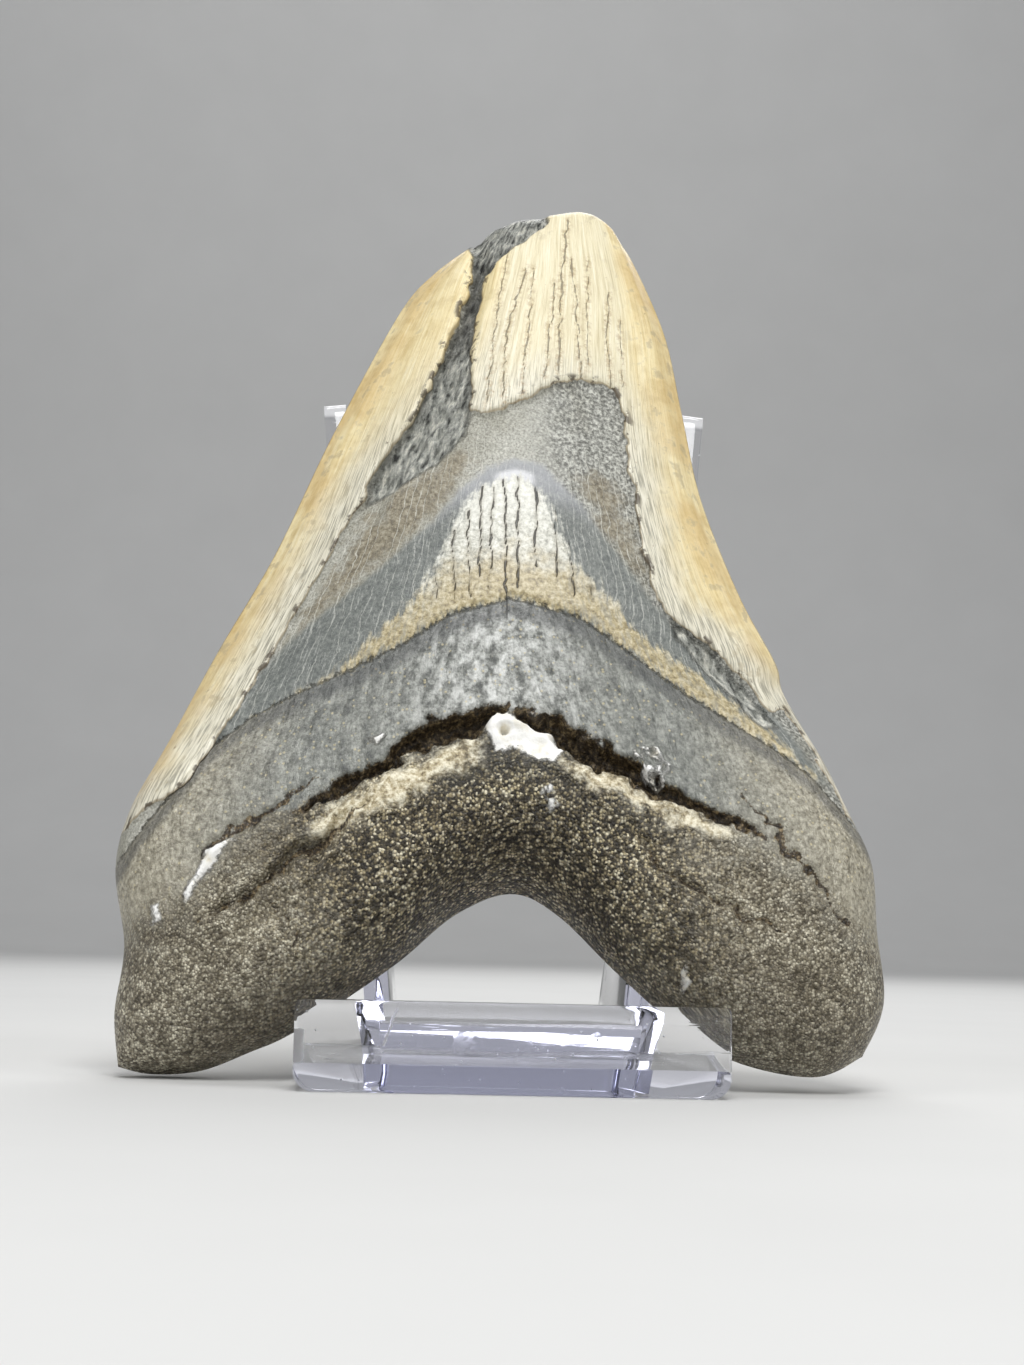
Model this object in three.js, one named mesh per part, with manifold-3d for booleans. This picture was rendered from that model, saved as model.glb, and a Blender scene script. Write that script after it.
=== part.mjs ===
// Fossil shark tooth leaning on a small clear acrylic easel. Millimetres, +Z up, origin on the table
// under the middle of the easel's base, the viewer on the -Y side.
import * as THREE from 'three';
import { mergeGeometries, mergeVertices } from 'three/addons/utils/BufferGeometryUtils.js';
import Module from 'manifold-3d';

const wasm = await Module();
wasm.setup();

const degrees = THREE.MathUtils.degToRad;
const smooth = (low, high, value) => THREE.MathUtils.smoothstep(value, low, high);

// Easel: a shelf with a front lip, and a higher floor behind it that carries two splayed side wings.
const BASE_DEPTH = 69;
const LIP_FRONT = -BASE_DEPTH / 2;
const SHEET = 3.2;
const SHELF_WIDTH = 50.8;
const SHELF_DEPTH = 26;
const LIP_HEIGHT = 10.5;
const LIP_THICKNESS = 3;
const SHELF_FOOT_RADIUS = 2.4;
const LIP_TOP_RADIUS = 0.8;
const WING_FRONT = LIP_FRONT + 24;
const WING_THICKNESS = SHEET;
const WING_GAP = 28;
const WING_HEIGHT = 95.5;
const WING_TOP_DEPTH = 6;
const WING_TOP_RADIUS = 2.4;
const WING_SPLAY = degrees(6.4);
const WING_REAR_SLOPE = 0.4;
const FLOOR_HEIGHT = 6.2;
const FLOOR_BITE = 1.4;
const FLOOR_CORNER = 2.5;
const FLOOR_LAP = 4;
const WELD_DEPTH = 2.6;
const ARC_STEPS = 5;

// Tooth: its flat plane leans back at the wings' angle, and it is set down a little askew. The tooth's
// own axes are u to the right, v up along the tooth and w out of the plane towards the viewer.
const LEAN = degrees(17);
const TOOTH_FOOT = LIP_FRONT + 15.9;
const TOOTH_TURN = degrees(-1.9);
const COLUMNS = 52;
const ROW_BANDS = [
  { end: 0.1, rows: 6 },
  { end: 0.34, rows: 18 },
  { end: 1, rows: 18 },
];

// The outline, in four runs: left flank and right flank upwards, the base from left to right with
// the arch between the root lobes, and the worn tip from left to right.
const LEFT_FLANK = [
  [-47.5, 1.2], [-48.5, 7.5], [-48.1, 16], [-50.2, 26], [-49.2, 34], [-45.8, 42.7],
  [-39.9, 57.3], [-33, 72.7], [-26.1, 92], [-17.7, 112.4], [-13, 119.5], [-7.7, 124.5],
];
const RIGHT_FLANK = [
  [44.5, 4.6], [47.4, 11], [47, 20], [46.8, 29], [44.2, 36.1], [41.1, 43.9], [36.4, 53.4],
  [35.4, 58], [30.7, 68.2], [25.8, 82.8], [23.3, 96.6], [20.9, 110], [16.3, 122.6], [13.5, 127.2],
];
const BASE_LINE = [
  [-47.5, 1.2], [-43.4, 0.4], [-37.4, 0.9], [-31.6, 3.3], [-25.7, 6.3], [-14.3, 14.7], [-6.7, 21.7],
  [0.4, 24.7], [6.4, 22], [13.9, 14.7], [21.3, 8.1], [28.7, 3.6], [38.5, 1.9], [44.5, 4.6],
];
const TIP_LINE = [
  [-7.7, 124.5], [-5.6, 124.9], [-3.8, 126.9], [-0.4, 128.6],
  [3.3, 129.1], [8.2, 130.5], [11.1, 129.7], [13.5, 127.2],
];

// Thickness of the front along the middle of the tooth, from the base (0) to the tip (1).
const FRONT_STATIONS = [0, 0.1, 0.2, 0.3, 0.45, 0.6, 0.75, 0.9, 1];
const FRONT_HEIGHTS = [12.5, 15.2, 14.6, 13.2, 11.6, 9.8, 7.6, 5.2, 3.6];
const ROOT_END = 0.22;
const CROWN_START = 0.45;
const LOBE_FALL = 0.38;
const ROOT_ROUND = 9;
const TIP_ROUND = 3.5;
const ROOT_BACK = 5.5;
const BACK_ROUND = 7.5;
const CROWN_BACK = 4.6;
const CROWN_BACK_TAPER = 1.6;
const RELIEF_MARGIN = 3;

// Edge of the surviving enamel: up the left strip, round the fracture to the tip panel, along the
// broken step and down the right strip. Everything below and inside it is bare dentine and root.
const ENAMEL_EDGE = [
  [-60, -10], [-60, 28], [-48.2, 31.5], [-43.5, 34.5], [-38.7, 43], [-31.6, 55.7], [-24.9, 69.4],
  [-19.8, 80.9], [-13.6, 92.4], [-8.9, 107.3], [-6.3, 121.6], [-4.9, 121.2], [-6.5, 105.7],
  [-6.6, 90], [-2.5, 90.3], [2.9, 94.4], [8.5, 97.4], [13.6, 95.9], [15.2, 85.8], [16.7, 71.1],
  [20.4, 60.6], [26.8, 56.9], [34, 48.9], [60, 52], [60, -10],
];
const ENAMEL_THICKNESS = 0.9;
const ENAMEL_BEVEL = 0.7;

// Grooves and ridges of the front: a path, the half width, and the depth (raised where negative).
const FURROWS = [
  // the deep fissure between root and crown, and the lit ledge below it
  { path: [[-25.8, 30.5], [-17.9, 33.5], [-11.3, 38.6], [-5.2, 41.2], [0, 43.6], [4.3, 42.6],
    [12.5, 36.6], [17.3, 33.5], [23.7, 30.5], [30, 27.6]], half: 2.6, depth: 3.4 },
  { path: [[-24, 26.5], [-14, 33], [-6, 37.4], [0, 38.6], [6, 37.4], [14, 32], [22, 26.6]],
    half: 3, depth: -0.9 },
  // branches on the left lobe
  { path: [[-39, 20], [-36.2, 26.2], [-31.3, 30], [-22.8, 34.6]], half: 1.8, depth: 1.5 },
  { path: [[-36.9, 13.6], [-29.7, 20.2], [-22.8, 25.5], [-18.5, 29]], half: 2, depth: 1.5 },
  { path: [[-28.6, 18.4], [-25.4, 14.7], [-24.6, 13]], half: 1.6, depth: 1.2 },
  // branches on the right lobe
  { path: [[29, 35.2], [34.2, 28.7], [38.3, 23.3], [42, 18.8]], half: 1.8, depth: 1.5 },
  { path: [[16, 25.8], [20.9, 21.4], [24.5, 17.9], [30.7, 18.4], [34.8, 16.3]], half: 2, depth: 1.1 },
  // the fracture that runs down the left of the crown from the tip
  { path: [[-5.6, 121], [-6.4, 113], [-8, 104], [-11, 94], [-16, 84], [-22, 72.5]], half: 2.6, depth: 1 },
];
const FURROW_SAMPLES = 60;
const FURROW_TAPER = 0.12;

// Round lumps and dents of the front: centre, half sizes, turn, and height (sunk where negative).
const LUMPS = [
  // the white crust in the middle of the fissure
  { centre: [1.4, 41], half: [6, 3], turn: degrees(-22), height: 3.4 },
  // the broken corner of the tip
  { centre: [-3, 126.5], half: [6, 3.4], turn: degrees(30), height: -1.8 },
];

const vectors = (points) => points.map(([u, v]) => new THREE.Vector2(u, v));
const spline = (points) => new THREE.SplineCurve(vectors(points));

const outline = {
  left: spline(LEFT_FLANK),
  right: spline(RIGHT_FLANK),
  base: spline(BASE_LINE),
  tip: spline(TIP_LINE),
};
Object.values(outline).forEach((curve) => { curve.arcLengthDivisions = 600; });

const furrows = FURROWS.map((furrow) => (
  { ...furrow, points: spline(furrow.path).getSpacedPoints(FURROW_SAMPLES) }));
const enamelEdge = vectors(ENAMEL_EDGE);

// A point of the tooth's plane from its share across (0 left, 1 right) and its share up (0 base, 1 tip):
// the four outline runs blended over the whole face.
function facePoint(across, up) {
  const left = outline.left.getPointAt(up);
  const right = outline.right.getPointAt(up);
  const base = outline.base.getPointAt(across);
  const tip = outline.tip.getPointAt(across);
  const corners = [
    [BASE_LINE[0], (1 - across) * (1 - up)],
    [BASE_LINE.at(-1), across * (1 - up)],
    [TIP_LINE[0], (1 - across) * up],
    [TIP_LINE.at(-1), across * up],
  ];
  const point = new THREE.Vector2()
    .addScaledVector(base, 1 - up).addScaledVector(tip, up)
    .addScaledVector(left, 1 - across).addScaledVector(right, across);
  corners.forEach(([corner, share]) => point.addScaledVector(new THREE.Vector2(...corner), -share));
  return {
    point,
    toSide: Math.min(point.distanceTo(left), point.distanceTo(right)),
    toBase: point.distanceTo(base),
    toTip: point.distanceTo(tip),
  };
}

// One distance to two edges: the nearer edge's far from their corner, and less than either close to it.
function toCorner(first, second) {
  return first * second / Math.max(Math.hypot(first, second), 1e-9);
}

// Share of full height at a distance from an edge that is rounded over the given radius.
function rounded(distance, radius) {
  const rest = 1 - Math.min(distance / radius, 1);
  return Math.sqrt(1 - rest * rest);
}

// Value between stations, by straight lines.
function along(stations, values, at) {
  const next = Math.max(1, stations.findIndex((station) => station >= at));
  return THREE.MathUtils.mapLinear(at, stations[next - 1], stations[next], values[next - 1], values[next]);
}

// Distance from a point to the segment between two others, and the share of the way along it.
function segmentDistance(point, start, end) {
  const run = end.clone().sub(start);
  const share = THREE.MathUtils.clamp(point.clone().sub(start).dot(run) / run.lengthSq(), 0, 1);
  return { distance: point.distanceTo(start.clone().addScaledVector(run, share)), share };
}

// Height that one furrow adds at a point: deepest on its path, running out at both ends.
function furrowHeight(furrow, point) {
  let best = { distance: Infinity, share: 0 };
  for (let i = 0; i < FURROW_SAMPLES; i += 1) {
    const { distance, share } = segmentDistance(point, furrow.points[i], furrow.points[i + 1]);
    if (distance < best.distance) best = { distance, share: (i + share) / FURROW_SAMPLES };
  }
  const ends = smooth(0, FURROW_TAPER, best.share) * smooth(0, FURROW_TAPER, 1 - best.share);
  return -furrow.depth * ends * smooth(0, 1, 1 - best.distance / furrow.half);
}

function lumpHeight({ centre, half, turn, height }, point) {
  const offset = point.clone().sub(new THREE.Vector2(...centre)).rotateAround(new THREE.Vector2(), -turn);
  return height * smooth(0, 1, 1 - Math.hypot(offset.x / half[0], offset.y / half[1]));
}

// Enamel stands above the dentine, with a short slope at its broken edge.
function enamelHeight(point) {
  const nearest = Math.min(...enamelEdge.map((corner, i) => (
    segmentDistance(point, corner, enamelEdge[(i + 1) % enamelEdge.length]).distance)));
  const inside = insideLoop(enamelEdge, point);
  return ENAMEL_THICKNESS * smooth(-ENAMEL_BEVEL, ENAMEL_BEVEL, inside ? -nearest : nearest);
}

function insideLoop(loop, point) {
  return loop.reduce((inside, a, i) => {
    const b = loop[(i + 1) % loop.length];
    const crosses = (a.y > point.y) !== (b.y > point.y)
      && point.x < a.x + (b.x - a.x) * (point.y - a.y) / (b.y - a.y);
    return crosses ? !inside : inside;
  }, false);
}

function relief(point) {
  const cut = furrows.reduce((sum, furrow) => sum + furrowHeight(furrow, point), 0);
  const lumps = LUMPS.reduce((sum, lump) => sum + lumpHeight(lump, point), 0);
  return cut + lumps + enamelHeight(point);
}

// Height of the bulging front and of the flatter back above the tooth's plane.
function toothHeights(across, up, face) {
  const side = 2 * across - 1;
  const root = 1 - smooth(ROOT_END, CROWN_START, up);
  const middle = along(FRONT_STATIONS, FRONT_HEIGHTS, up);
  const crownFront = middle * (1 - side ** 2) * rounded(face.toTip, TIP_ROUND);
  const toRootEdge = toCorner(face.toSide, face.toBase);
  const rootFront = middle * (1 - LOBE_FALL * side ** 2) * rounded(toRootEdge, ROOT_ROUND);
  const crownBack = (CROWN_BACK - CROWN_BACK_TAPER * up) * (1 - side ** 4)
    * rounded(face.toTip, TIP_ROUND) * rounded(face.toSide, BACK_ROUND);
  const rootBack = ROOT_BACK * rounded(toRootEdge, BACK_ROUND);
  const margin = smooth(0, RELIEF_MARGIN, Math.min(face.toSide, face.toBase, face.toTip));
  return {
    front: THREE.MathUtils.lerp(crownFront, rootFront, root) + margin * relief(face.point),
    back: THREE.MathUtils.lerp(crownBack, rootBack, root),
  };
}

// Share up the tooth of each row: the rows are closest where the fissures are.
function rowStations() {
  const stations = [0];
  ROW_BANDS.forEach(({ end, rows }) => {
    const start = stations.at(-1);
    for (let row = 1; row <= rows; row += 1) stations.push(start + (end - start) * row / rows);
  });
  return stations;
}

// One face of the tooth: a plane grid whose columns run from base to tip. The back face runs from
// right to left, so that it looks the other way.
function toothFace(isFront) {
  const stations = rowStations();
  const rows = stations.length - 1;
  const grid = new THREE.PlaneGeometry(1, 1, COLUMNS, rows);
  const position = grid.attributes.position;
  for (let i = 0; i < position.count; i += 1) {
    const run = position.getX(i) + 0.5;
    const across = isFront ? run : 1 - run;
    const up = stations[Math.round((position.getY(i) + 0.5) * rows)];
    const face = facePoint(across, up);
    const { front, back } = toothHeights(across, up, face);
    position.setXYZ(i, face.point.x, face.point.y, isFront ? front : -back);
  }
  return bare(grid);
}

// A geometry with nothing but its positions, its shared corners merged.
function bare(geometry) {
  geometry.deleteAttribute('normal');
  geometry.deleteAttribute('uv');
  return mergeVertices(geometry, 1e-4);
}

function buildTooth() {
  const geometry = mergeVertices(mergeGeometries([toothFace(true), toothFace(false)]), 1e-4);
  geometry.computeVertexNormals();
  const material = new THREE.MeshStandardMaterial({ color: 0x6b6355, roughness: 0.6, metalness: 0 });
  const tooth = new THREE.Mesh(geometry, material);
  tooth.name = 'tooth';
  tooth.rotation.x = Math.PI / 2 - LEAN;
  tooth.position.y = TOOTH_FOOT;
  return tooth;
}

// A rectangle standing on y = 0 with round bottom corners and its own radius at the top.
function frontShape(width, height, footRadius, topRadius) {
  const half = width / 2;
  const shape = new THREE.Shape();
  shape.absarc(half - footRadius, footRadius, footRadius, -Math.PI / 2, 0);
  shape.absarc(half - topRadius, height - topRadius, topRadius, 0, Math.PI / 2);
  shape.absarc(topRadius - half, height - topRadius, topRadius, Math.PI / 2, Math.PI);
  shape.absarc(footRadius - half, footRadius, footRadius, Math.PI, 1.5 * Math.PI);
  return shape;
}

// A shape drawn in the front view and drawn out backwards from the easel's front.
function frontBar(shape, depth) {
  return new THREE.ExtrudeGeometry(shape, { depth, bevelEnabled: false, curveSegments: ARC_STEPS })
    .rotateX(Math.PI / 2)
    .translate(0, LIP_FRONT + depth, 0);
}

// The floor between the wings, a step up from the shelf, which bites a little into each wing.
function floorPlate() {
  const rear = LIP_FRONT + BASE_DEPTH;
  const front = WING_FRONT - FLOOR_LAP;
  const half = WING_GAP / 2 + FLOOR_BITE;
  const shape = new THREE.Shape();
  shape.moveTo(-half, front);
  shape.lineTo(half, front);
  shape.lineTo(half, rear - FLOOR_CORNER);
  shape.quadraticCurveTo(half, rear, half - FLOOR_CORNER, rear);
  shape.lineTo(FLOOR_CORNER - half, rear);
  shape.quadraticCurveTo(-half, rear, -half, rear - FLOOR_CORNER);
  const drawing = { depth: FLOOR_HEIGHT, bevelEnabled: false, curveSegments: ARC_STEPS };
  return new THREE.ExtrudeGeometry(shape, drawing);
}

// One side wing: drawn in the side view and splayed about its foot.
function wing(side) {
  const foot = SHEET - WELD_DEPTH;
  const depthAtFloor = LIP_FRONT + BASE_DEPTH - FLOOR_CORNER - WING_FRONT;
  const topFront = (WING_HEIGHT - SHEET) * Math.tan(LEAN);
  const topRear = topFront + WING_TOP_DEPTH;
  const shape = new THREE.Shape();
  shape.moveTo(-WELD_DEPTH * Math.tan(LEAN), foot);
  shape.lineTo(depthAtFloor, foot);
  shape.lineTo(depthAtFloor, FLOOR_HEIGHT);
  shape.lineTo(topRear + WING_REAR_SLOPE, WING_HEIGHT - WING_TOP_RADIUS);
  shape.quadraticCurveTo(topRear, WING_HEIGHT, topRear - WING_TOP_RADIUS, WING_HEIGHT);
  shape.lineTo(topFront + WING_TOP_RADIUS / 2, WING_HEIGHT);
  const shoulder = WING_HEIGHT - SHEET - WING_TOP_RADIUS;
  shape.quadraticCurveTo(topFront, WING_HEIGHT, shoulder * Math.tan(LEAN), WING_HEIGHT - WING_TOP_RADIUS);
  const sideView = new THREE.Matrix4().makeBasis(
    new THREE.Vector3(0, 1, 0), new THREE.Vector3(0, 0, 1), new THREE.Vector3(1, 0, 0));
  const drawing = { depth: WING_THICKNESS, bevelEnabled: false, curveSegments: ARC_STEPS };
  return new THREE.ExtrudeGeometry(shape, drawing)
    .translate(0, 0, side > 0 ? 0 : -WING_THICKNESS)
    .applyMatrix4(sideView)
    .rotateY(side * WING_SPLAY)
    .translate(side * WING_GAP / 2, WING_FRONT, 0);
}

// A closed geometry as a solid that can be joined to others.
function solid(geometry) {
  const merged = bare(geometry);
  return new wasm.Manifold(new wasm.Mesh({
    numProp: 3,
    vertProperties: new Float32Array(merged.attributes.position.array),
    triVerts: new Uint32Array(merged.index.array),
  }));
}

function solidGeometry(joined) {
  const mesh = joined.getMesh();
  const geometry = new THREE.BufferGeometry();
  geometry.setAttribute('position', new THREE.BufferAttribute(mesh.vertProperties, 3));
  geometry.setIndex(new THREE.BufferAttribute(mesh.triVerts, 1));
  geometry.computeVertexNormals();
  return geometry;
}

function buildEasel() {
  const lip = frontBar(frontShape(SHELF_WIDTH, LIP_HEIGHT, SHELF_FOOT_RADIUS, LIP_TOP_RADIUS), LIP_THICKNESS);
  const shelf = frontBar(frontShape(SHELF_WIDTH, SHEET, SHELF_FOOT_RADIUS, LIP_TOP_RADIUS / 2), SHELF_DEPTH);
  const pieces = [shelf, floorPlate(), wing(1), wing(-1)];
  const joined = pieces.reduce((body, piece) => body.add(solid(piece)), solid(lip));
  const material = new THREE.MeshStandardMaterial({
    color: 0xeef1f4, roughness: 0.08, metalness: 0, transparent: true, opacity: 0.3 });
  const easel = new THREE.Mesh(solidGeometry(joined), material);
  easel.name = 'easel';
  return easel;
}

const askew = new THREE.Group();
askew.rotation.z = TOOTH_TURN;
askew.add(buildTooth());

const specimen = new THREE.Group();
specimen.add(askew, buildEasel());

export default specimen;
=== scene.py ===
"""A fossil shark tooth that leans on a small clear acrylic easel."""

import logging
import math
from dataclasses import dataclass
from enum import Enum
from typing import Sequence, Union

import bmesh
import bpy
import numpy as np
from mathutils import Matrix, Vector


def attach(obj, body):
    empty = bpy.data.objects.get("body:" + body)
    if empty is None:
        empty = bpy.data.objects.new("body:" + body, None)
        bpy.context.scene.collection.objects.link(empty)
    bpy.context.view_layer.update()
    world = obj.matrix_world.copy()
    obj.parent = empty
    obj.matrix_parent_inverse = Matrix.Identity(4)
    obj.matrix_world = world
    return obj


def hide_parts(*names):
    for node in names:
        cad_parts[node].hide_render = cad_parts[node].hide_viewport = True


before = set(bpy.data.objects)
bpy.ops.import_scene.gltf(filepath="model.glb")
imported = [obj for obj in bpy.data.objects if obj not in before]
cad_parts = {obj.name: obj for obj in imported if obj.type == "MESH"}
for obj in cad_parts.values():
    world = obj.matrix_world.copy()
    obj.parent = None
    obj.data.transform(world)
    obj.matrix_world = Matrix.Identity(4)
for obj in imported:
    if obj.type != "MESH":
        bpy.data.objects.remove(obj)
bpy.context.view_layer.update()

MM = 0.001
PER_METRE = 1000
NEAR_ZERO = 1e-6
BODY = "root"
LOG = logging.getLogger("fossil_tooth")

Array = np.ndarray
Points = Sequence[tuple[float, float]]
Place = tuple[float, float, float]
Socket = bpy.types.NodeSocket
Colour = tuple[int, int, int]
Stops = Sequence[tuple[float, Colour]]
Number = Union["Field", float]
Inputs = dict[Union[str, int], object]
Zones = dict[str, Array]


class Layer(Enum):
    """Attributes of the tooth's mesh, by the three fields that each holds.

    A field is a distance in millimetres, positive inside its zone, apart from side (-1 to 1 across the
    tooth), up (0 to 1 along it) and rim (the distance from the outline).
    """

    SHELL = ("enamel", "cream", "slate")
    SEAM = ("ridge", "root", "fissure")
    SCAR = ("crust", "fracture", "rust")
    LANE = ("side", "up", "crack")
    SHELF = ("ledge", "broken_tip", "rim")

    @property
    def attribute(self) -> str:
        """The attribute's name."""
        return self.name.lower()


def smooth(low: float, high: float, value: Array) -> Array:
    """Ease from 0 at low to 1 at high."""
    share = np.clip((value - low) / (high - low), 0, 1)
    return share * share * (3 - 2 * share)


def rounded(distance: Array, radius: float) -> Array:
    """Share of full height at a distance from an edge that is rounded over a radius."""
    rest = 1 - np.minimum(distance / radius, 1)
    return np.sqrt(1 - rest * rest)


def linear(colour: Colour) -> tuple[float, float, float, float]:
    """A display colour as the linear colour that shaders take."""
    shares = [channel / 255 for channel in colour]
    values = [s / 12.92 if s <= 0.04045 else ((s + 0.055) / 1.055) ** 2.4 for s in shares]
    return (values[0], values[1], values[2], 1.0)


class Run:
    """A smooth curve through points of the tooth's plane, read by the share of its length."""

    def __init__(self, points: Points, steps: int = 24) -> None:
        """Sample the curve.

        Args:
            points: The points that the curve passes through.
            steps: Straight pieces between two points.
        """
        knots = np.asarray(points, dtype=float)
        start, end = knots[:-1], knots[1:]
        before = np.vstack([knots[:1], knots[:-2]])
        after = np.vstack([knots[2:], knots[-1:]])
        leave, reach = (end - before) / 2, (after - start) / 2
        share = np.linspace(0, 1, steps, endpoint=False)[:, None, None]
        bend = (2 * start - 2 * end + leave + reach) * share ** 3
        bend = bend + (3 * end - 3 * start - 2 * leave - reach) * share ** 2
        curve = bend + leave * share + start
        self.points = np.vstack([curve.transpose(1, 0, 2).reshape(-1, 2), knots[-1:]])
        lengths = np.hypot(*np.diff(self.points, axis=0).T)
        self.shares = np.concatenate([[0], np.cumsum(lengths)]) / lengths.sum()

    def at(self, share: Array) -> Array:
        """Points at shares of the length."""
        return np.stack([np.interp(share, self.shares, self.points[:, axis]) for axis in (0, 1)], -1)

    def nearest(self, place: Array) -> tuple[Array, Array]:
        """Find how far places are from the curve.

        Args:
            place: Points of the plane, one row each.

        Returns:
            The distance of each, and the share along the curve where it is nearest.
        """
        best = np.full(len(place), np.inf)
        share = np.zeros(len(place))
        for first, last, low, high in zip(self.points, self.points[1:], self.shares, self.shares[1:]):
            step = last - first
            along = np.clip((place - first) @ step / (step @ step), 0, 1)
            distance = np.hypot(*(place - first - along[:, None] * step).T)
            nearer = distance < best
            best[nearer] = distance[nearer]
            share[nearer] = (low + along * (high - low))[nearer]
        return best, share


@dataclass(frozen=True)
class Loop:
    """A closed outline on the tooth's plane."""

    corners: Points

    def depth(self, place: Array) -> Array:
        """Distance of each place from the outline, positive inside it."""
        corners = np.asarray(self.corners, dtype=float)
        best = np.full(len(place), np.inf)
        inside = np.zeros(len(place), dtype=bool)
        for first, last in zip(corners, np.roll(corners, -1, axis=0)):
            step = last - first
            along = np.clip((place - first) @ step / (step @ step), 0, 1)
            best = np.minimum(best, np.hypot(*(place - first - along[:, None] * step).T))
            if first[1] != last[1]:
                crossing = first[0] + step[0] * (place[:, 1] - first[1]) / step[1]
                between = (first[1] > place[:, 1]) != (last[1] > place[:, 1])
                inside ^= between & (place[:, 0] < crossing)
        return np.where(inside, best, -best)


@dataclass(frozen=True)
class Grain:
    """Seeded smooth noise over the tooth's plane, about -1 to 1 times its height."""

    seed: int
    size: float  # length of one bump, in millimetres
    octaves: int = 1  # copies that are added, each half as large
    stretch: float = 1  # how much longer the bumps are along the tooth than across it
    height: float = 1
    table_size: int = 256
    octave_shift: float = 37.7

    def read(self, place: Array) -> Array:
        """Read the noise.

        Args:
            place: Points of the plane, one row each.

        Returns:
            The noise at each place.
        """
        table = np.random.default_rng(self.seed).uniform(-1, 1, (self.table_size, self.table_size))
        span = (self.size, self.size * self.stretch)
        total = np.zeros(len(place))
        reach = 0.0
        for octave in range(self.octaves):
            scaled = place / span * 2 ** octave + self.octave_shift * octave
            cell = np.floor(scaled).astype(int)
            x, y = smooth(0, 1, scaled - cell).T
            left, low = (cell % self.table_size).T
            right, high = ((cell + 1) % self.table_size).T
            bottom = table[left, low] * (1 - x) + table[right, low] * x
            top = table[left, high] * (1 - x) + table[right, high] * x
            total += (bottom * (1 - y) + top * y) * 0.5 ** octave
            reach += 0.5 ** octave
        return self.height * (total / reach)


@dataclass(frozen=True)
class Drift:
    """Two noises that move places of the tooth's plane sideways and along it."""

    across: Grain
    along: Grain

    def read(self, place: Array) -> Array:
        """The move of each place."""
        return np.stack([self.across.read(place), self.along.read(place)], -1)


@dataclass(frozen=True)
class Furrow:
    """A groove of the tooth's front, or a ridge where its depth is negative."""

    path: Points
    halves: Sequence[float]
    depth: float
    taper: float = 0.12
    # share of the half width whose colour is painted shadow
    dark: float = 0.66
    wall_share: float = 0.7
    end_reach: float = 0.3
    full_half: float = 2
    steps: int = 8

    def read(self, place: Array) -> tuple[Array, Array]:
        """Read the groove.

        Args:
            place: Points of the plane, one row each.

        Returns:
            The height that it adds, and how far each place is inside its dark core, which is painted
            shadow.
        """
        distance, share = Run(self.path, self.steps).nearest(place)
        half = np.interp(share, np.linspace(0, 1, len(self.halves)), self.halves)
        ends = smooth(0, self.taper, share) * smooth(0, self.taper, 1 - share)
        wall = smooth(0, self.wall_share, 1 - distance / half)
        core = half * self.dark - distance
        at_end = (share < NEAR_ZERO) | (share > 1 - NEAR_ZERO)
        core = np.where(at_end, np.minimum(core, self.end_reach - distance), core)
        return -self.depth * ends * np.minimum(1, half / self.full_half) * wall, core


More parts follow.
